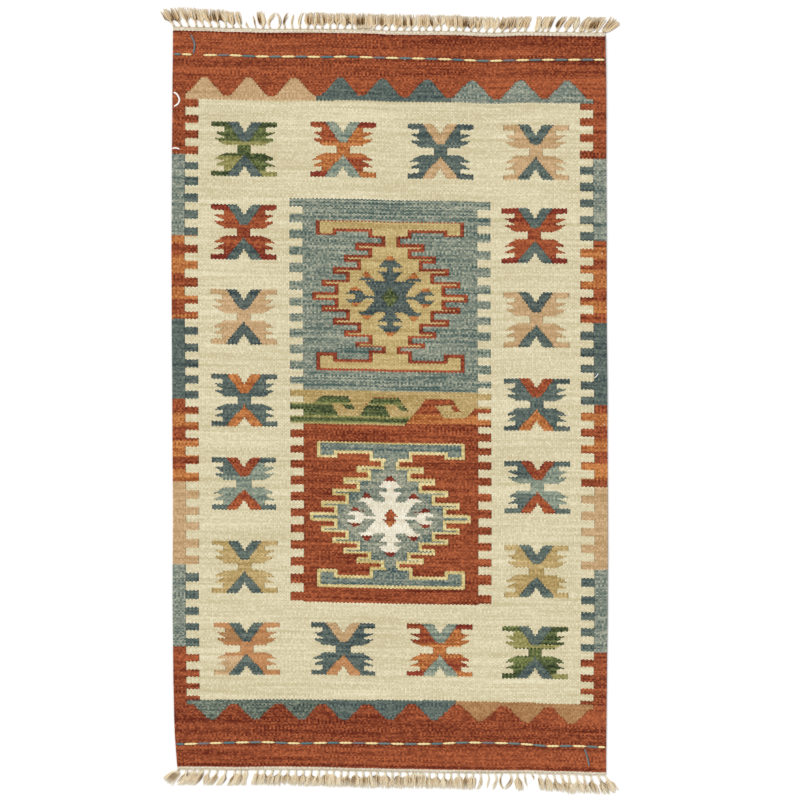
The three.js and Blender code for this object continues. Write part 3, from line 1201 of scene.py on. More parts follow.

# %% [markdown]
# The two rust ends were woven from many small lots, so light and dark courses run across them, and
# not at the same place from side to side. A chart holds how light each course is at the left, in the
# middle and at the right. A dark line of painted shade ends the wool, where the first row turns down to the
# web.
# The first and last courses of the blue panel change from pass to pass as well.

# %% Courses of the two ends: rows of (along, left, middle, right), from 0 dark to 2 light
# The rows of 0 at 7.5 mm here and at 1524.5 mm below are painted shade at the step down to the web.
FAR_COURSES = [
    (0, 1.0, 1.0, 1.0), (7.5, 0.0, 0.0, 0.0), (10, 0.5, 0.8, 0.6), (14, 1.2, 0.9, 0.5),
    (22, 1.6, 0.8, 0.4), (30, 1.0, 1.2, 0.8), (35, 1.5, 0.8, 0.7), (41, 0.9, 1.5, 1.2),
    (45, 1.3, 1.3, 1.2), (60, 1.4, 0.8, 0.0), (64, 1.1, 1.1, 0.85), (71, 0.4, 1.1, 1.4),
    (75, 0.5, 1.1, 1.1), (82, 1.7, 1.0, 0.4), (90, 1.4, 0.9, 1.0), (97, 0.9, 1.2, 1.6),
    (147, 1.2, 1.2, 1.2),
]
NEAR_COURSES = [
    (1390, 1.0, 1.0, 1.2), (1432, 0.4, 0.65, 1.4), (1442, 1.0, 0.75, 0.3), (1447, 1.2, 0.85, 0.9),
    (1453, 0.35, 0.65, 1.25), (1460, 0.9, 0.95, 0.5), (1466, 1.3, 0.85, 0.8), (1480, 0.5, 0.8, 0.6),
    (1488, 1.5, 1.3, 1.2), (1496, 0.8, 1.0, 1.5), (1504, 0.9, 1.4, 1.0), (1512, 0.7, 1.1, 1.7),
    (1519, 1.1, 1.2, 1.2), (1524.5, 0.0, 0.0, 0.0), (1525.5, 1.0, 1.0, 1.0),
]
FAR_END = 147
NEAR_END = 1390
COURSE_SPREAD = 0.8
PANEL_STRIPE = 7.0
STRIPE_SPREAD = 0.5
FIRST_STRIPES = 37
LAST_STRIPES = 30


def course_group():
    tree, (warp, along, number), outputs = new_group("end courses", ["Warp", "Along", "Yarn"], ["Tone"])
    near_end = along > NEAR_END
    far = chart(along, FAR_END, FAR_COURSES)
    near_rows = [(place - NEAR_END, *tones) for place, *tones in NEAR_COURSES]
    near = chart(along - NEAR_END, LOOM_LENGTH - NEAR_END, near_rows)
    left, middle, right = [choose(near_end, n, f) for n, f in zip(near, far)]
    share = clamped(warp / WARPS, 0, 1) * 2
    mixed = choose(clamped(share - 1, 0, 1), right, choose(clamped(share, 0, 1), middle, left))
    is_rust = abs(number - yarn("rust")) < 0.5
    mixed = (mixed - 1) * ((along < FAR_END) | near_end) * is_rust
    stripe = (part_of((along - PANEL_TOP) / PANEL_STRIPE) > 0.5) - 0.5
    striped = in_any(along, ((PANEL_TOP, PANEL_TOP + FIRST_STRIPES), (BAND_TOP - LAST_STRIPES, BAND_TOP)))
    striped = striped & between(warp, PANEL_LEFT - TOOTH_WARPS, PANEL_RIGHT + TOOTH_WARPS)
    plug(mixed * COURSE_SPREAD + stripe * striped * STRIPE_SPREAD, outputs["Tone"])
    return tree


END_COURSES = course_group()

# %% [markdown]
# ## Wool material
# All of it meets here. Tone and yarn give the colour, the gaps between beads get a little painted shade,
# and a bump raises every bead and the fibres on it. Where two yarns meet along a warp, the wefts turn
# back and leave a slit, whose shade is painted into the colour as a fine dark line. So the chart is read
# a second time for the next warp, and that painted shade is drawn where the two yarns differ. The slit is
# kept out of the bump, since a Bump node works out its height three times over. Wool is rough, with a faint
# sheen.


# %% Wool material
TONE_LIMITS = (-0.2, 1.4)
GAP_SHADE = 0.3
SLIT_SHADE = 0.45
SLIT_WIDTH = 0.2
WEB_SCALLOP = 1.2
FIBRE_SCALE = (9, 1.2)
BEAD_RELIEF = 0.8
FIBRE_RELIEF = 0.35


def tint(tree, colour, share):
    """The colour multiplied by a number."""
    node = tree.nodes.new("ShaderNodeVectorMath")
    node.operation = "SCALE"
    tree.links.new(colour, node.inputs[0])
    plug(share, node.inputs["Scale"])
    return node.outputs[0]


def mapped_material(name):
    """A new material and its tree, with the two numbers of the loom map as wires."""
    material = bpy.data.materials.new(name)
    material.use_nodes = True
    tree = material.node_tree
    loom = tree.nodes.new("ShaderNodeUVMap")
    loom.uv_map = LOOM_MAP
    split = tree.nodes.new("ShaderNodeSeparateXYZ")
    tree.links.new(loom.outputs[0], split.inputs[0])
    return material, tree, Wire(split.outputs[0]), Wire(split.outputs[1])


def surface(tree, colour, height, relief, strength, **settings):
    """Gives the shader its colour, a bump with a relief in metres, and other settings by name."""
    shader = tree.nodes["Principled BSDF"]
    tree.links.new(colour, shader.inputs["Base Color"])
    bump = tree.nodes.new("ShaderNodeBump")
    bump.inputs["Strength"].default_value = strength
    bump.inputs["Distance"].default_value = relief
    plug(height, bump.inputs["Height"])
    tree.links.new(bump.outputs[0], shader.inputs["Normal"])
    for label, value in settings.items():
        shader.inputs[label.replace("_", " ")].default_value = value


def wool_material():
    material, tree, u, v = mapped_material("tapestry_wool")
    warp, along, row, in_warp, in_bead, fine_warp, fine_along = place_group(tree, LOOM_PLACE, u, v)
    web_edge = fine_along + (part_of(warp / 2) - 0.5) * 2 * WEB_SCALLOP
    number = place_group(tree, WHOLE_CHART, warp, along, web_edge)
    next_warp = warp + (in_warp > 0.5) * 2 - 1
    next_number = place_group(tree, WHOLE_CHART, next_warp, along, web_edge)
    # The slit's shade is painted into the colour: a dark line along the warp where the yarn changes.
    painted_slit_shade = (abs(number - next_number) > 0.5) & (abs(in_warp - 0.5) > 0.5 - SLIT_WIDTH)
    tone = place_group(tree, HEATHER, warp, along, row)
    tone = tone + place_group(tree, END_COURSES, warp, along, number)
    colour = place_group(tree, YARN_RACK, number, clamped(tone, *TONE_LIMITS))
    swell = 1 - math_node("POWER", abs(in_bead * 2 - 1), 3.0)
    # Painted shade: the colour is darker in the gaps between beads and in the slits.
    shade = (1 - GAP_SHADE + swell * GAP_SHADE) * (1 - painted_slit_shade * SLIT_SHADE)
    shaded = tint(tree, colour.socket, shade)
    fibre = noise(tree, fine_warp * FIBRE_SCALE[0], fine_along * FIBRE_SCALE[1], 4.0)
    height = swell * BEAD_RELIEF + fibre * FIBRE_RELIEF
    surface(
        tree, shaded, height, 0.5 * MM, 0.6, Roughness=0.92, Sheen_Weight=0.12, Sheen_Roughness=0.5,
        Specular_IOR_Level=0.2,
    )
    print("node groups hold", sum(len(group.nodes) for group in bpy.data.node_groups), "nodes")
    return material


cloth_data.materials.append(wool_material())

# %% [markdown]
# ## Strands
# The fringe, the twined rows and the stray ends are all yarn, so one kind of material serves them.
# Its UV map has the place along the strand on one axis. The other axis is cut into bands, one for
# each tone of yarn, and inside a band it goes round the strand, which lets a bump lay the plies on
# the slant, and lets painted shade darken the grooves between the plies.


# %% Strand material
TIP_FROM = 0.62
TIP_RATE = 2.6
FOOT_TO = 0.36
FOOT_RATE = 5
MOST_FADED = 0.85
PLY_GROOVE_SHADE = 0.86
PLY_SHADE_SPREAD = 0.2


def strand_material(name, tones, tip=None, plies=5):
    """Yarn whose tone is its band of the map, and whose foot and tip may be paler."""
    material, tree, along, share = mapped_material(name)
    band = share * len(tones)
    on_ramp = (floor_of(clamped(band, 0, len(tones) - 0.01)) + 0.5) / len(tones)
    colour = tone_ramp(tree, on_ramp, tones)
    # With foot and tip blended pale, the dark tones that paint shade between strands show only in the middle
    # of a tassel.
    if tip:
        at_tip = clamped((along - TIP_FROM) * TIP_RATE, 0, MOST_FADED)
        at_foot = clamped((FOOT_TO - along) * FOOT_RATE, 0, MOST_FADED)
        colour = blend(tree, at_tip | at_foot, colour, linear(*tip))
    ply = abs(part_of(along * plies + part_of(band) * 2) * 2 - 1)
    # Painted shade in the grooves between the plies.
    shaded = tint(tree, colour, PLY_GROOVE_SHADE + ply * PLY_SHADE_SPREAD)
    surface(tree, shaded, ply, 0.2 * MM, 1.0, Roughness=0.95, Specular_IOR_Level=0.15)
    return material


# The darker tones stand for painted shade between clumps of strands, the paler ones for the cotton itself.
FRINGE_TONES = (
    (98, 70, 38), (142, 110, 72), (184, 152, 110), (208, 178, 136),
    (220, 192, 152), (228, 204, 166), (236, 216, 180), (240, 226, 196),
)
PALE = (250, 238, 208)
PALER = 0.34
NEAR_TONES = [tuple(v + (p - v) * PALER for v, p in zip(tone, PALE)) for tone in FRINGE_TONES]
COTTON = {
    "far": strand_material("cotton_fringe_far", FRINGE_TONES, tip=(240, 222, 190), plies=12),
    "near": strand_material("cotton_fringe_near", NEAR_TONES, tip=(248, 236, 208), plies=12),
}

# %% [markdown]
# ## Fringe
# At each end the warps were knotted in groups of four and cut. Out of a knot comes a narrow neck that
# opens into a flat tassel, which soon touches its neighbours. The outer tassels lean away from the
# middle, and in one stretch many ends have worn off. Fifty-eight tassels are too many to place by hand,
# so Geometry Nodes makes each from a point with a few numbers on it: how far it reaches, how much
# it leans, how wide it opens and how many strands are left.

# %% Tassel lay, as in the CAD model, and the worn stretch
TASSELS = 58
FIRST_TASSEL = 3 * MM
CORD_OFF = 0.9 * MM
KNOT_REACH = 1.2
TASSEL_LAY = [
    (0.0, 37, -21), (0.05, 40, -11), (0.12, 37, -9), (0.18, 33, 0), (0.6, 34, 0),
    (0.72, 33, 4), (0.86, 32, 9), (0.93, 32, 14), (0.985, 32, 17), (1.0, 20, 33),
]
# Tassel feet: the number of a tassel and its place from the first to the last.
TASSEL_FEET = [
    (0, 0.0), (24, 0.413), (40, 0.689), (47, 0.816), (48, 0.842), (50, 0.869), (52, 0.91), (57, 1.0),
]

# %% [markdown]
# Most tassels are alike. The odd ones are listed by number, as how they differ: the count of strands,
# half the opened width in mm, the length as a share, a lean to the side and a curl in mm, the height
# at which they open, and how much longer the strands at one side are than those at the other.

# %% Odd tassels
USUAL = {"strands": 24, "opened": 8.4, "length": 1.0, "lean": 0.0, "curl": 0.0, "opens": 0.22, "slope": 0.0}
ODD = {
    9: {"strands": 14, "opened": 5.0, "lean": -6},
    10: {"strands": 3, "opened": 1.2, "length": 0.42, "lean": -6},
    11: {"strands": 3, "opened": 0.8, "length": 0.85, "lean": -7, "curl": 1},
    12: {"strands": 24, "opened": 7.2, "lean": -6, "opens": 0.12, "length": 1.1},
    13: {"strands": 8, "opened": 2.2, "lean": 9, "curl": -8},
    14: {"strands": 7, "opened": 1.8, "lean": -3, "curl": 6},
    15: {"strands": 6, "opened": 2.0, "lean": 5, "curl": -5},
    16: {"strands": 3, "opened": 1.1, "length": 0.95, "lean": 3, "curl": -4},
    17: {"strands": 8, "opened": 2.9, "lean": 7, "curl": -5},
    18: {"opened": 7.2, "lean": 3},
    21: {"opens": 0.34},
    22: {"opens": 0.34},
    24: {"opens": 0.36, "lean": -1},
    25: {"opens": 0.0, "opened": 9.0},
    26: {"opens": 0.0, "opened": 9.0},
    29: {"opens": 0.3},
    36: {"opens": 0.34},
    42: {"opens": 0.3},
    45: {"lean": 3},
    46: {"lean": 4},
    47: {"opened": 5.4, "lean": 1, "curl": -2},
    48: {"opened": 4.6, "lean": -2, "opens": 0.0},
    49: {"lean": 6, "curl": -3},
    50: {"opened": 5.2, "lean": 2, "curl": -3},
    51: {"opened": 5.4, "lean": 6, "curl": -3},
    52: {"opened": 6.6, "lean": 4, "curl": -3},
    53: {"opened": 4.6, "lean": -3, "strands": 14},
    54: {"opened": 5.6, "lean": 5, "curl": -3, "opens": 0.0},
    55: {"lean": 5, "curl": -4, "opens": 0.0},
    56: {"opened": 5.6, "lean": -1, "curl": -3},
    57: {"strands": 26, "opened": 8.5, "length": 1.36, "lean": -7, "opens": 0.0, "slope": -0.3},
}
LEFT_OPENS = 0.34
LEFT_TASSELS = 8
# What chance adds to the usual tassels, or multiplies them by, and to where all of them open.
CHANCE_ADDS = {"lean": 2.5, "curl": 1.5}
CHANCE_SCALES = {"opened": (0.92, 1.1), "length": (0.95, 1.05)}
CHANCE_OPENS = {"far": (-0.03, 0.07), "near": (0.0, 0.2)}
FRINGE_SEEDS = {"far": 11, "near": 12}


def eased(table, place, column):
    """A column of the table at a place, eased between rows as the CAD model does."""
    for low, high in zip(table, table[1:]):
        if place <= high[0]:
            share = (place - low[0]) / (high[0] - low[0])
            share = share * share * (3 - 2 * share)
            return low[column] + share * (high[column] - low[column])
    return table[-1][column]


# %% Points with numbers on them, one for each knot
def note(mesh, label, values, kind="FLOAT"):
    """Stores a value on each point of the mesh under a name."""
    mesh.attributes.new(label, kind, "POINT").data.foreach_set("value", values)


def knot_points(end):
    """A mesh whose points are the knots of one end, in the order in which the tassels lean."""
    edge = EDGES[end] if end == "far" else EDGES[end][::-1]
    out = 1 if end == "far" else -1
    width = float(np.linalg.norm(np.diff(edge, axis=0), axis=1).sum())
    spread = np.interp(np.arange(TASSELS), *zip(*TASSEL_FEET))
    feet = along_edge(edge, FIRST_TASSEL / width + spread * (1 - 2 * FIRST_TASSEL / width))
    feet[:, 1] += out * CORD_OFF
    chance = random.Random(FRINGE_SEEDS[end])
    mesh = bpy.data.meshes.new(end + "_knots")
    mesh.from_pydata([(x, y, 0) for x, y in feet], [(k, k + 1) for k in range(TASSELS - 1)], [])
    rows = []
    for number, place in enumerate(spread):
        row = {**USUAL, **({"opens": LEFT_OPENS} if number < LEFT_TASSELS else {}), **ODD.get(number, {})}
        if number not in ODD:
            for label, most in CHANCE_ADDS.items():
                row[label] += chance.uniform(-most, most)
            for label, limits in CHANCE_SCALES.items():
                row[label] *= chance.uniform(*limits)
        row["opens"] += chance.uniform(*CHANCE_OPENS[end])
        row["lean"] += eased(TASSEL_LAY, place, 2)
        row["reach"] = (eased(TASSEL_LAY, place, 1) - KNOT_REACH) * row.pop("length")
        rows.append({k: v * MM if k in ("lean", "curl", "opened", "reach") else v for k, v in row.items()})
    for label in rows[0]:
        note(mesh, label, [row[label] for row in rows], "INT" if label == "strands" else "FLOAT")
    return mesh


# %% Helpers for geometry trees
def feed(tree, value, socket):
    """Puts a socket, a wire or a plain value into a socket."""
    if isinstance(value, bpy.types.NodeSocket):
        tree.links.new(value, socket)
    else:
        plug(value, socket)


def add(tree, kind, inputs=None, **settings):
    """A node with these settings, its inputs filled by name or number."""
    node = tree.nodes.new(kind)
    for label, value in settings.items():
        setattr(node, label, value)
    for label, value in (inputs or {}).items():
        feed(tree, value, node.inputs[label])
    return node


def step(tree, kind, inputs=None, **settings):
    """The first output of a geometry node."""
    return add(tree, "GeometryNode" + kind, inputs, **settings).outputs[0]


def named(tree, label, kind="FLOAT"):
    """A value that was stored on the geometry under a name."""
    node = add(tree, "GeometryNodeInputNamedAttribute", {"Name": label}, data_type=kind)
    return Wire(next(out for out in node.outputs if out.name == "Attribute" and out.enabled))


def keep(tree, geometry, label, value, domain="POINT", kind="FLOAT"):
    """Stores a value on the geometry under a name."""
    node = add(tree, "GeometryNodeStoreNamedAttribute", {"Geometry": geometry, "Name": label})
    node.data_type, node.domain = kind, domain
    feed(tree, value, next(one for one in node.inputs if one.name == "Value" and one.enabled))
    return node.outputs[0]


def chance_between(tree, low, high, seed):
    """A random number for each point."""
    node = add(tree, "FunctionNodeRandomValue", {"Seed": seed}, data_type="FLOAT")
    for value, socket in zip((low, high), [one for one in node.inputs if one.enabled]):
        plug(value, socket)
    return Wire(next(out for out in node.outputs if out.enabled))


def vector(tree, x, y, z):
    return add(tree, "ShaderNodeCombineXYZ", {"X": x, "Y": y, "Z": z}).outputs[0]


def moved(tree, geometry, x, y, z):
    """The geometry with each of its points moved."""
    return step(tree, "SetPosition", {"Geometry": geometry, "Offset": vector(tree, x, y, z)})


def position(tree):
    """Where a point is, as three wires."""
    split = add(tree, "ShaderNodeSeparateXYZ", {"Vector": step(tree, "InputPosition")})
    return [Wire(socket) for socket in split.outputs]


def along_curve(tree):
    """How far along its curve a point is, from 0 to 1."""
    return Wire(step(tree, "SplineParameter"))


def copied_onto(tree, points, instance):
    """A real copy of the instance on every point."""
    copies = step(tree, "InstanceOnPoints", {"Points": points, "Instance": instance})
    return step(tree, "RealizeInstances", {"Geometry": copies})


def join(tree, *parts):
    """The parts as one geometry."""
    joined = add(tree, "GeometryNodeJoinGeometry")
    for part in parts:
        tree.links.new(part, joined.inputs[0])
    return joined.outputs[0]


def new_geometry_tree(name, sizes):
    """A tree that takes a geometry, a material and some numbers. Returns it with its inputs."""
    tree = bpy.data.node_groups.new(name, "GeometryNodeTree")
    tree.interface.new_socket("Geometry", in_out="OUTPUT", socket_type="NodeSocketGeometry")
    tree.interface.new_socket("Geometry", in_out="INPUT", socket_type="NodeSocketGeometry")
    tree.interface.new_socket("Material", in_out="INPUT", socket_type="NodeSocketMaterial")
    for label in sizes:
        tree.interface.new_socket(label, in_out="INPUT", socket_type="NodeSocketFloat")
    source = tree.nodes.new("NodeGroupInput")
    result = tree.nodes.new("NodeGroupOutput")
    return tree, source.outputs, result.inputs[0]


# %% Strands from curves
TUBE_MERGE = 0.02 * MM


def tubes(tree, curves, radius, band_share, material, sides=6):
    """Curves made into closed strands with the strand map on them."""
    curves = step(tree, "SetCurveRadius", {"Curve": curves, "Radius": radius})
    ring = step(tree, "CurvePrimitiveCircle", {"Resolution": sides, "Radius": 1.0})
    ring = keep(tree, ring, "around", along_curve(tree))
    inputs = {"Curve": curves, "Profile Curve": ring, "Scale": step(tree, "InputRadius")}
    sweep = step(tree, "CurveToMesh", inputs)
    mesh = step(tree, "MergeByDistance", {"Geometry": sweep, "Distance": TUBE_MERGE})
    band = (named(tree, "tone") + named(tree, "around") * 0.98 + 0.01) * band_share
    spot = vector(tree, named(tree, "along"), band, 0.0)
    mesh = keep(tree, mesh, LOOM_MAP, spot, domain="CORNER", kind="FLOAT2")
    return step(tree, "SetMaterial", {"Geometry": mesh, "Material": material})


# %% Fringe tree
FRINGE_SIZES = {"Out": 1.0, "Strand Width": 1.8 * MM, "Neck Width": 1.1 * MM, "Pile Height": 1.9 * MM}
STRAND_POINTS = 9
SIDE_JITTER = 0.16
# Strands that lie together are often of one tone, partly the cotton's own shades and partly painted shade
# between clumps: so many patches to a metre, and how they differ.
PATCHES = 130.0
PATCH_DEPTH = 0.7
PATCH_CONTRAST = 3.4
PATCH_MEAN = 0.55
PATCH_SHARE = 0.78
DARKEST_SHARE = 0.05
LONGEST = 1.1
CUT_SPREAD = 0.26
THICKNESS = (0.7, 1.25)
OPENING = 0.14
ROOT_RATE = 9
ROOT_SPREAD = 0.8
WAVE_TURN = 6
WAVE_SHIFT = 40
STRAND_WAVE = 1.3 * MM
PILE_FOOT = 1.1
PILE_FALL = 0.8
TIP_POWER = 7.0
TIP_THIN = 0.97


def fringe_tree():
    tree, source, result = new_geometry_tree("knotted fringe", FRINGE_SIZES)
    out, strand, neck, pile = [Wire(source[label]) for label in FRINGE_SIZES]
    count = named(tree, "strands", "INT")
    knots = step(tree, "MeshToPoints", {"Mesh": source["Geometry"]})
    copies = add(tree, "GeometryNodeDuplicateElements", {"Geometry": knots, "Amount": count}, domain="POINT")
    points = copies.outputs["Geometry"]
    place = (Wire(copies.outputs["Duplicate Index"]) + 0.5) / count * 2 - 1
    points = keep(tree, points, "side", place + chance_between(tree, -SIDE_JITTER, SIDE_JITTER, 1))
    points = keep(tree, points, "layer", chance_between(tree, 0.0, 1.0, 4))
    spread = position(tree)[0] + named(tree, "side") * named(tree, "opened")
    # Patches of dark tone: partly the cotton's own shades, partly painted shade between clumps of strands.
    patch = noise(tree, spread * PATCHES, named(tree, "layer") * PATCH_DEPTH, 1.0) - 0.5
    patch = clamped(patch * PATCH_CONTRAST + PATCH_MEAN, 0, 1)
    light = patch * PATCH_SHARE + chance_between(tree, 0.0, 1 - PATCH_SHARE, 2)
    # A few strands take the darkest tone: painted shade, as of a gap between clumps.
    light = light * (chance_between(tree, 0.0, 1.0, 7) > DARKEST_SHARE)
    tone = floor_of(clamped(light * len(FRINGE_TONES), 0, len(FRINGE_TONES) - 0.01))
    points = keep(tree, points, "tone", tone)
    shortened = math_node("POWER", chance_between(tree, 0.0, 1.0, 3), 2.0) * CUT_SPREAD
    points = keep(tree, points, "cut", LONGEST - shortened)
    points = keep(tree, points, "thick", chance_between(tree, *THICKNESS, 6))
    line = step(tree, "CurvePrimitiveLine", {"Start": (0, 0, 0), "End": (0, 1, 0)})
    line = step(tree, "ResampleCurve", {"Curve": line, "Count": STRAND_POINTS})
    line = keep(tree, line, "along", along_curve(tree))
    strands = copied_onto(tree, points, line)
    along, side, layer = named(tree, "along"), named(tree, "side"), named(tree, "layer")
    opens = named(tree, "opens")
    opening = add(
        tree, "ShaderNodeMapRange", {"Value": along, "From Min": opens, "From Max": opens + OPENING},
        interpolation_type="SMOOTHSTEP",
    )
    root = clamped(1 - along * ROOT_RATE, 0, 1) * neck * ROOT_SPREAD
    half = neck + root + Wire(opening.outputs[0]) * (named(tree, "opened") - neck)
    wave = math_node("SINE", along * WAVE_TURN + layer * WAVE_SHIFT) * along * STRAND_WAVE
    arc = math_node("SINE", along * math.pi) * named(tree, "curl")
    across = named(tree, "lean") * along + side * half + arc + wave
    reach = named(tree, "reach") * named(tree, "cut") * along * (1 + side * named(tree, "slope"))
    height = strand / 2 + layer * pile * (PILE_FOOT - along * PILE_FALL)
    strands = moved(tree, strands, out * across, out * reach - along, height)
    thin = 1 - math_node("POWER", along, TIP_POWER) * TIP_THIN
    start = clamped(along * ROOT_RATE, 0.01, 1)
    radius = strand / 2 * named(tree, "thick") * thin * start
    mesh = tubes(tree, strands, radius, 1 / len(FRINGE_TONES), source["Material"], sides=5)
    tree.links.new(join(tree, mesh, knot_row(tree, source, out)), result)
    return tree


# %% [markdown]
# The row of knots is a thin cord along the edge of the web with a small round knot at the foot of
# every tassel. The cord takes the lightest tone, and the knots the one before it.

# %% Knot row
KNOT_WIDTH = 2.8 * MM
KNOT_HEIGHT = 1.1 * MM
CORD_RADIUS = 0.7 * MM
CORD_LIFT = 1.6 * MM
CORD_STEP = 3.0 * MM
CORD_TAPER = 400
CORD_SHARE = 0.7
KNOT_OUT = 0.6 * MM
KNOT_TONE = -1.95
KNOT_SHARE = 0.6
KNOTS_ALONG = 3
KNOTS_AROUND = 60


def knot_row(tree, source, out):
    cord = step(tree, "MeshToCurve", {"Mesh": source["Geometry"]})
    cord = step(tree, "ResampleCurve", {"Curve": cord, "Length": CORD_STEP}, mode="LENGTH")
    place = along_curve(tree)
    cord = keep(tree, cord, "along", place * CORD_SHARE)
    cord = keep(tree, cord, "tone", place * 0 + len(FRINGE_TONES) - 1)
    cord = moved(tree, cord, 0.0, 0.0, CORD_LIFT)
    ends = clamped(math_node("MINIMUM", place, 1 - place) * CORD_TAPER, 0.01, 1)
    cord = tubes(tree, cord, ends * CORD_RADIUS, 1 / len(FRINGE_TONES), source["Material"])
    ball = step(tree, "MeshUVSphere", {"Segments": 8, "Rings": 5, "Radius": 1.0})
    ball_size = (KNOT_WIDTH / 2, KNOT_WIDTH / 2, KNOT_HEIGHT)
    ball = step(tree, "Transform", {"Geometry": ball, "Scale": ball_size})
    feet = step(tree, "MeshToPoints", {"Mesh": source["Geometry"]})
    feet = moved(tree, feet, 0.0, out * KNOT_OUT, KNOT_HEIGHT)
    balls = copied_onto(tree, feet, ball)
    x, y, _ = position(tree)
    tone = len(FRINGE_TONES) + KNOT_TONE + part_of(y * KNOTS_AROUND) * 0.9
    knot_spot = vector(tree, part_of(x * KNOTS_ALONG) * KNOT_SHARE, tone / len(FRINGE_TONES), 0.0)
    balls = keep(tree, balls, LOOM_MAP, knot_spot, domain="CORNER", kind="FLOAT2")
    balls = step(tree, "SetMaterial", {"Geometry": balls, "Material": source["Material"]})
    balls = step(tree, "SetShadeSmooth", {"Geometry": balls})
    return join(tree, cord, balls)


# %% Run a geometry tree on a mesh and keep the result as a plain object
def grow(name, mesh, tree, material, sizes):
    """A new object with the geometry that the tree makes from the mesh."""
    seed = show(name + "_seed", mesh)
    modifier = seed.modifiers.new("grow", "NODES")
    modifier.node_group = tree
    sockets = {item.name: item.identifier for item in tree.interface.items_tree if item.in_out == "INPUT"}
    modifier[sockets["Material"]] = material
    for label, value in sizes.items():
        modifier[sockets[label]] = value
    grown = bpy.data.meshes.new_from_object(seed.evaluated_get(bpy.context.evaluated_depsgraph_get()))
    bpy.data.objects.remove(seed)
    grown.name = name
    grown.shade_smooth()
    piece = show(name, grown)
    print(name + ":", sum(len(face.vertices) - 2 for face in grown.polygons), "triangles")
    return piece


# %% Grow both fringes
FRINGE = fringe_tree()
fringes = {
    end: grow("strands_" + end, knot_points(end), FRINGE, COTTON[end], {**FRINGE_SIZES, "Out": out})
    for end, out in (("far", 1.0), ("near", -1.0))
}

# %% [markdown]
# ## Twined rows
# Inside each rust end runs one row of twining in two colours: a cream and a blue yarn take turns to
# lie on top, about 7 warps at a time. Each stretch that shows is two plies twisted together, and it
# rises out of the cloth and dives back into it.


# %% A place on top of the cloth
def on_cloth(warp, along, lift=0.0):
    """The point on top of the cloth at a warp and a place along, raised by lift in mm."""
    across, far_side = np.array([warp / WARPS]), np.array([along / LOOM_LENGTH])
    x, y = coons(across, 1 - far_side)[0, 0]
    height = float(waves(across, far_side)[0]) + CLOTH_THICKNESS / MM + lift
    return float(x), float(y), height * MM


# %% Stretches of the two twined rows, in warps
TWINE_TONES = ((246, 228, 170), (112, 134, 134), (96, 128, 132), (128, 124, 126))
TWINE_PITCH = 13.95
TWINE_CHANCE = 0.4
CREAM_SHARE = 0.52
SHORTEST = 1.5
OVERLAP = 0.25
LAST_WARP = WARPS - 0.6
TWINED_ROWS = {
    "far": {"start": 16.4, "from": 16.4, "first": [(0.6, 4.6, 1), (4.8, 10.4, 0)]},
    "near": {"start": 4.6, "from": 0.8, "first": []},
}
# Where each row runs: pairs of a warp and a place along, in mm from the far edge.
TWINE_WAY = {
    "far": [
        (5, 56), (17, 57.5), (30, 56.5), (43, 58.5), (56, 58.5), (65, 57.5), (81, 58), (94, 56),
        (107, 57.5), (126, 58), (139, 58.5), (152, 59.5), (168, 61.5), (184, 59), (197, 57.5),
        (213, 56.5), (229, 55.5),
    ],
    "near": [
        (5, 1481), (17, 1478.5), (30, 1476.5), (49, 1474), (65, 1476.5), (81, 1474), (94, 1473.5),
        (110, 1474), (126, 1474.5), (142, 1473), (155, 1469.5), (168, 1469.5), (180, 1470),
        (190, 1471.5), (200, 1475), (216, 1473.5), (229, 1475.5),
    ],
}


def twine_stretches(row):
    """Start, end and tone of every stretch that shows in a row."""
    chance = random.Random(5)
    found = list(row["first"])
    start = row["start"] - TWINE_PITCH
    while start < WARPS:
        middle = start + TWINE_PITCH * CREAM_SHARE + chance.uniform(-TWINE_CHANCE, TWINE_CHANCE)
        blue = chance.choice((1, 1, 2, 2, 3))
        for low, high, tone in ((start, middle, 0), (middle, start + TWINE_PITCH, blue)):
            low, high = max(low, row["from"]), min(high, LAST_WARP)
            if high - low > SHORTEST:
                found.append((low - OVERLAP, high + OVERLAP, tone))
        start += TWINE_PITCH
    return found


def twine_mesh():
    points, tones = [], []
    for end, row in TWINED_ROWS.items():
        for low, high, tone in twine_stretches(row):
            for warp in (low, high):
                points.append(on_cloth(warp, float(np.interp(warp, *zip(*TWINE_WAY[end])))))
                tones.append(tone)
    mesh = bpy.data.meshes.new("twine_stretches")
    mesh.from_pydata(points, [(k, k + 1) for k in range(0, len(points), 2)], [])
    note(mesh, "tone", tones)
    return mesh


# %% Twining tree
TWINE_SIZES = {"Ply Width": 3.3 * MM, "Rise": 2.1 * MM, "Turns": 2.0}
TWINE_POINTS = 13
PLY_OFFSET = 0.33
SWELL_POWER = 0.3
SINK = 0.6


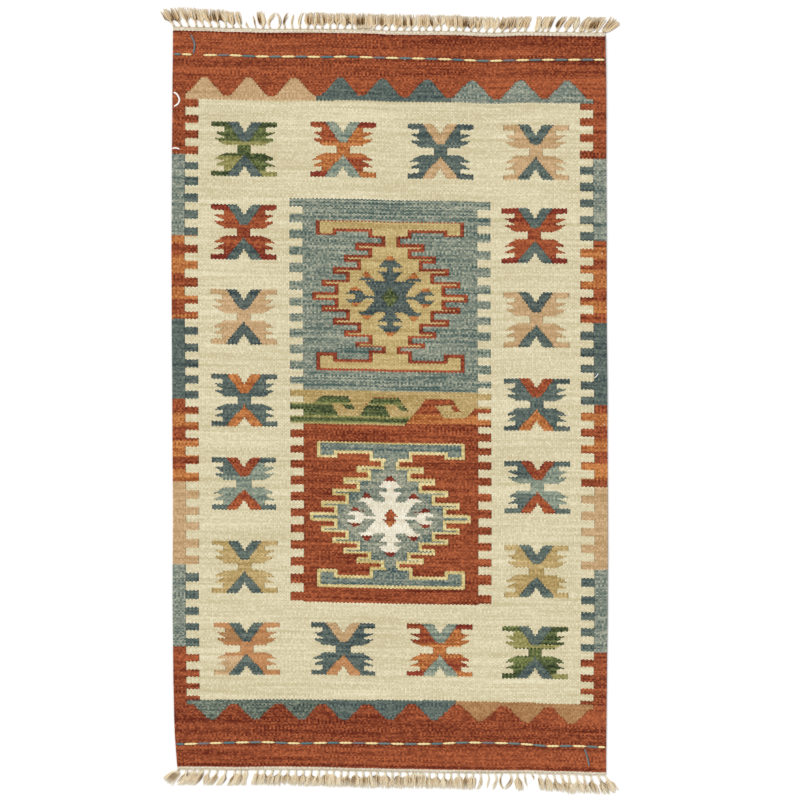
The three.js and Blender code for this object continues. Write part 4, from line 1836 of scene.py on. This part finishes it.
def twine_tree():
    tree, source, result = new_geometry_tree("twined row", TWINE_SIZES)
    ply, rise, turns = [Wire(source[label]) for label in TWINE_SIZES]
    curves = step(tree, "MeshToCurve", {"Mesh": source["Geometry"]})
    curves = step(tree, "ResampleCurve", {"Curve": curves, "Count": TWINE_POINTS})
    copies = add(tree, "GeometryNodeDuplicateElements", {"Geometry": curves, "Amount": 2}, domain="SPLINE")
    number = Wire(copies.outputs["Duplicate Index"]) + 0.0
    curves = keep(tree, copies.outputs["Geometry"], "ply", number, "CURVE")
    along = along_curve(tree)
    curves = keep(tree, curves, "along", along)
    turn = along * turns * math.tau + named(tree, "ply") * math.pi
    swell = math_node("POWER", math_node("SINE", clamped(along, 0.0, 1.0) * math.pi), SWELL_POWER)
    sideways = math_node("COSINE", turn) * ply * PLY_OFFSET * swell
    height = rise * (swell - SINK) + math_node("SINE", turn) * ply * PLY_OFFSET * swell
    curves = moved(tree, curves, 0.0, sideways, height)
    radius = ply / 2 * clamped(swell, 0.01, 1)
    mesh = tubes(tree, curves, radius, 1 / len(TWINE_TONES), source["Material"])
    tree.links.new(mesh, result)
    return tree


TWINE_YARN = strand_material("twining_yarn", TWINE_TONES, plies=6)
twining = grow("twined_rows", twine_mesh(), twine_tree(), TWINE_YARN, TWINE_SIZES)

# %% [markdown]
# ## Stray ends
# A hand-made rug keeps the odd loose end: a blue one at the far left, a grey one at the near right,
# a white thread that stands out in a loop from the left selvedge, and a few specks of white.

# %% Stray yarns: places as (warp, along, lift in mm), with a radius in mm and a tone
STRAY_TONES = ((255, 254, 250), (112, 128, 134))
STRAYS = [
    (((9.6, 15, 0.2), (10.6, 23, 0.9), (11.8, 33, 0.8), (11.6, 45, 0.9), (10.9, 56, 0.2)), 1.8, 1),
    (((220.3, 1478, 0.2), (221.4, 1490, 0.9), (222.2, 1502, 0.7), (222.9, 1516, 0.2)), 1.6, 1),
    (((0.2, 134, -1.5), (2.6, 138, 1.0), (4.1, 150, 1.4), (3.2, 159, 1.0), (0.6, 165, -1.5)), 1.8, 0),
    (((0.1, 251, -1.2), (1.6, 249.5, 0.6), (3.2, 250.5, 0.7), (4.2, 252.5, 0.0)), 1.6, 0),
    (((225.0, 713, 0.0), (226.3, 710, 0.8), (227.2, 703.5, 0.4)), 0.9, 0),
]
STRAYS += [
    (((warp - 0.3, along, 0.0), (warp, along + 0.8, 0.6), (warp + 0.4, along + 1.5, 0.0)), 0.7, 0)
    for warp, along in ((124.2, 60), (229.6, 455), (230.2, 808), (230.3, 1107), (1.3, 1164))
]


def stray_mesh():
    """Smooth runs of points for a geometry tree, with the tone and radius of each on them."""
    points, edges, tones, radii = [], [], [], []
    for places, radius, tone in STRAYS:
        knots = np.array([on_cloth(*place) for place in places])
        at = np.linspace(0, len(knots) - 1, 4 * len(knots))
        run = np.stack([np.interp(at, range(len(knots)), knots[:, k]) for k in range(3)], -1)
        for _ in range(3):
            run[1:-1] = (run[:-2] + 2 * run[1:-1] + run[2:]) / 4
        edges += [(len(points) + k, len(points) + k + 1) for k in range(len(run) - 1)]
        points += run.tolist()
        tones += [tone] * len(run)
        radii += [radius * MM] * len(run)
    mesh = bpy.data.meshes.new("stray_runs")
    mesh.from_pydata(points, edges, [])
    note(mesh, "tone", tones)
    note(mesh, "thick", radii)
    return mesh


STRAY_TAPER = 12


def stray_tree():
    tree, source, result = new_geometry_tree("stray yarns", {})
    curves = step(tree, "MeshToCurve", {"Mesh": source["Geometry"]})
    along = along_curve(tree)
    curves = keep(tree, curves, "along", along)
    ends = clamped(math_node("MINIMUM", along, 1 - along) * STRAY_TAPER, 0.01, 1)
    mesh = tubes(tree, curves, ends * named(tree, "thick"), 1 / len(STRAY_TONES), source["Material"])
    tree.links.new(mesh, result)
    return tree


STRAY_YARN = strand_material("stray_yarn", STRAY_TONES, plies=6)
strays = grow("stray_ends", stray_mesh(), stray_tree(), STRAY_YARN, {})

# %% Say what stands for what
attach(cloth, "root")
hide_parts("kilim_cloth")
for end, fringe in fringes.items():
    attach(fringe, "root")
    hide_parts("fringe_" + end)
for piece in (twining, strays):
    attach(piece, "root")
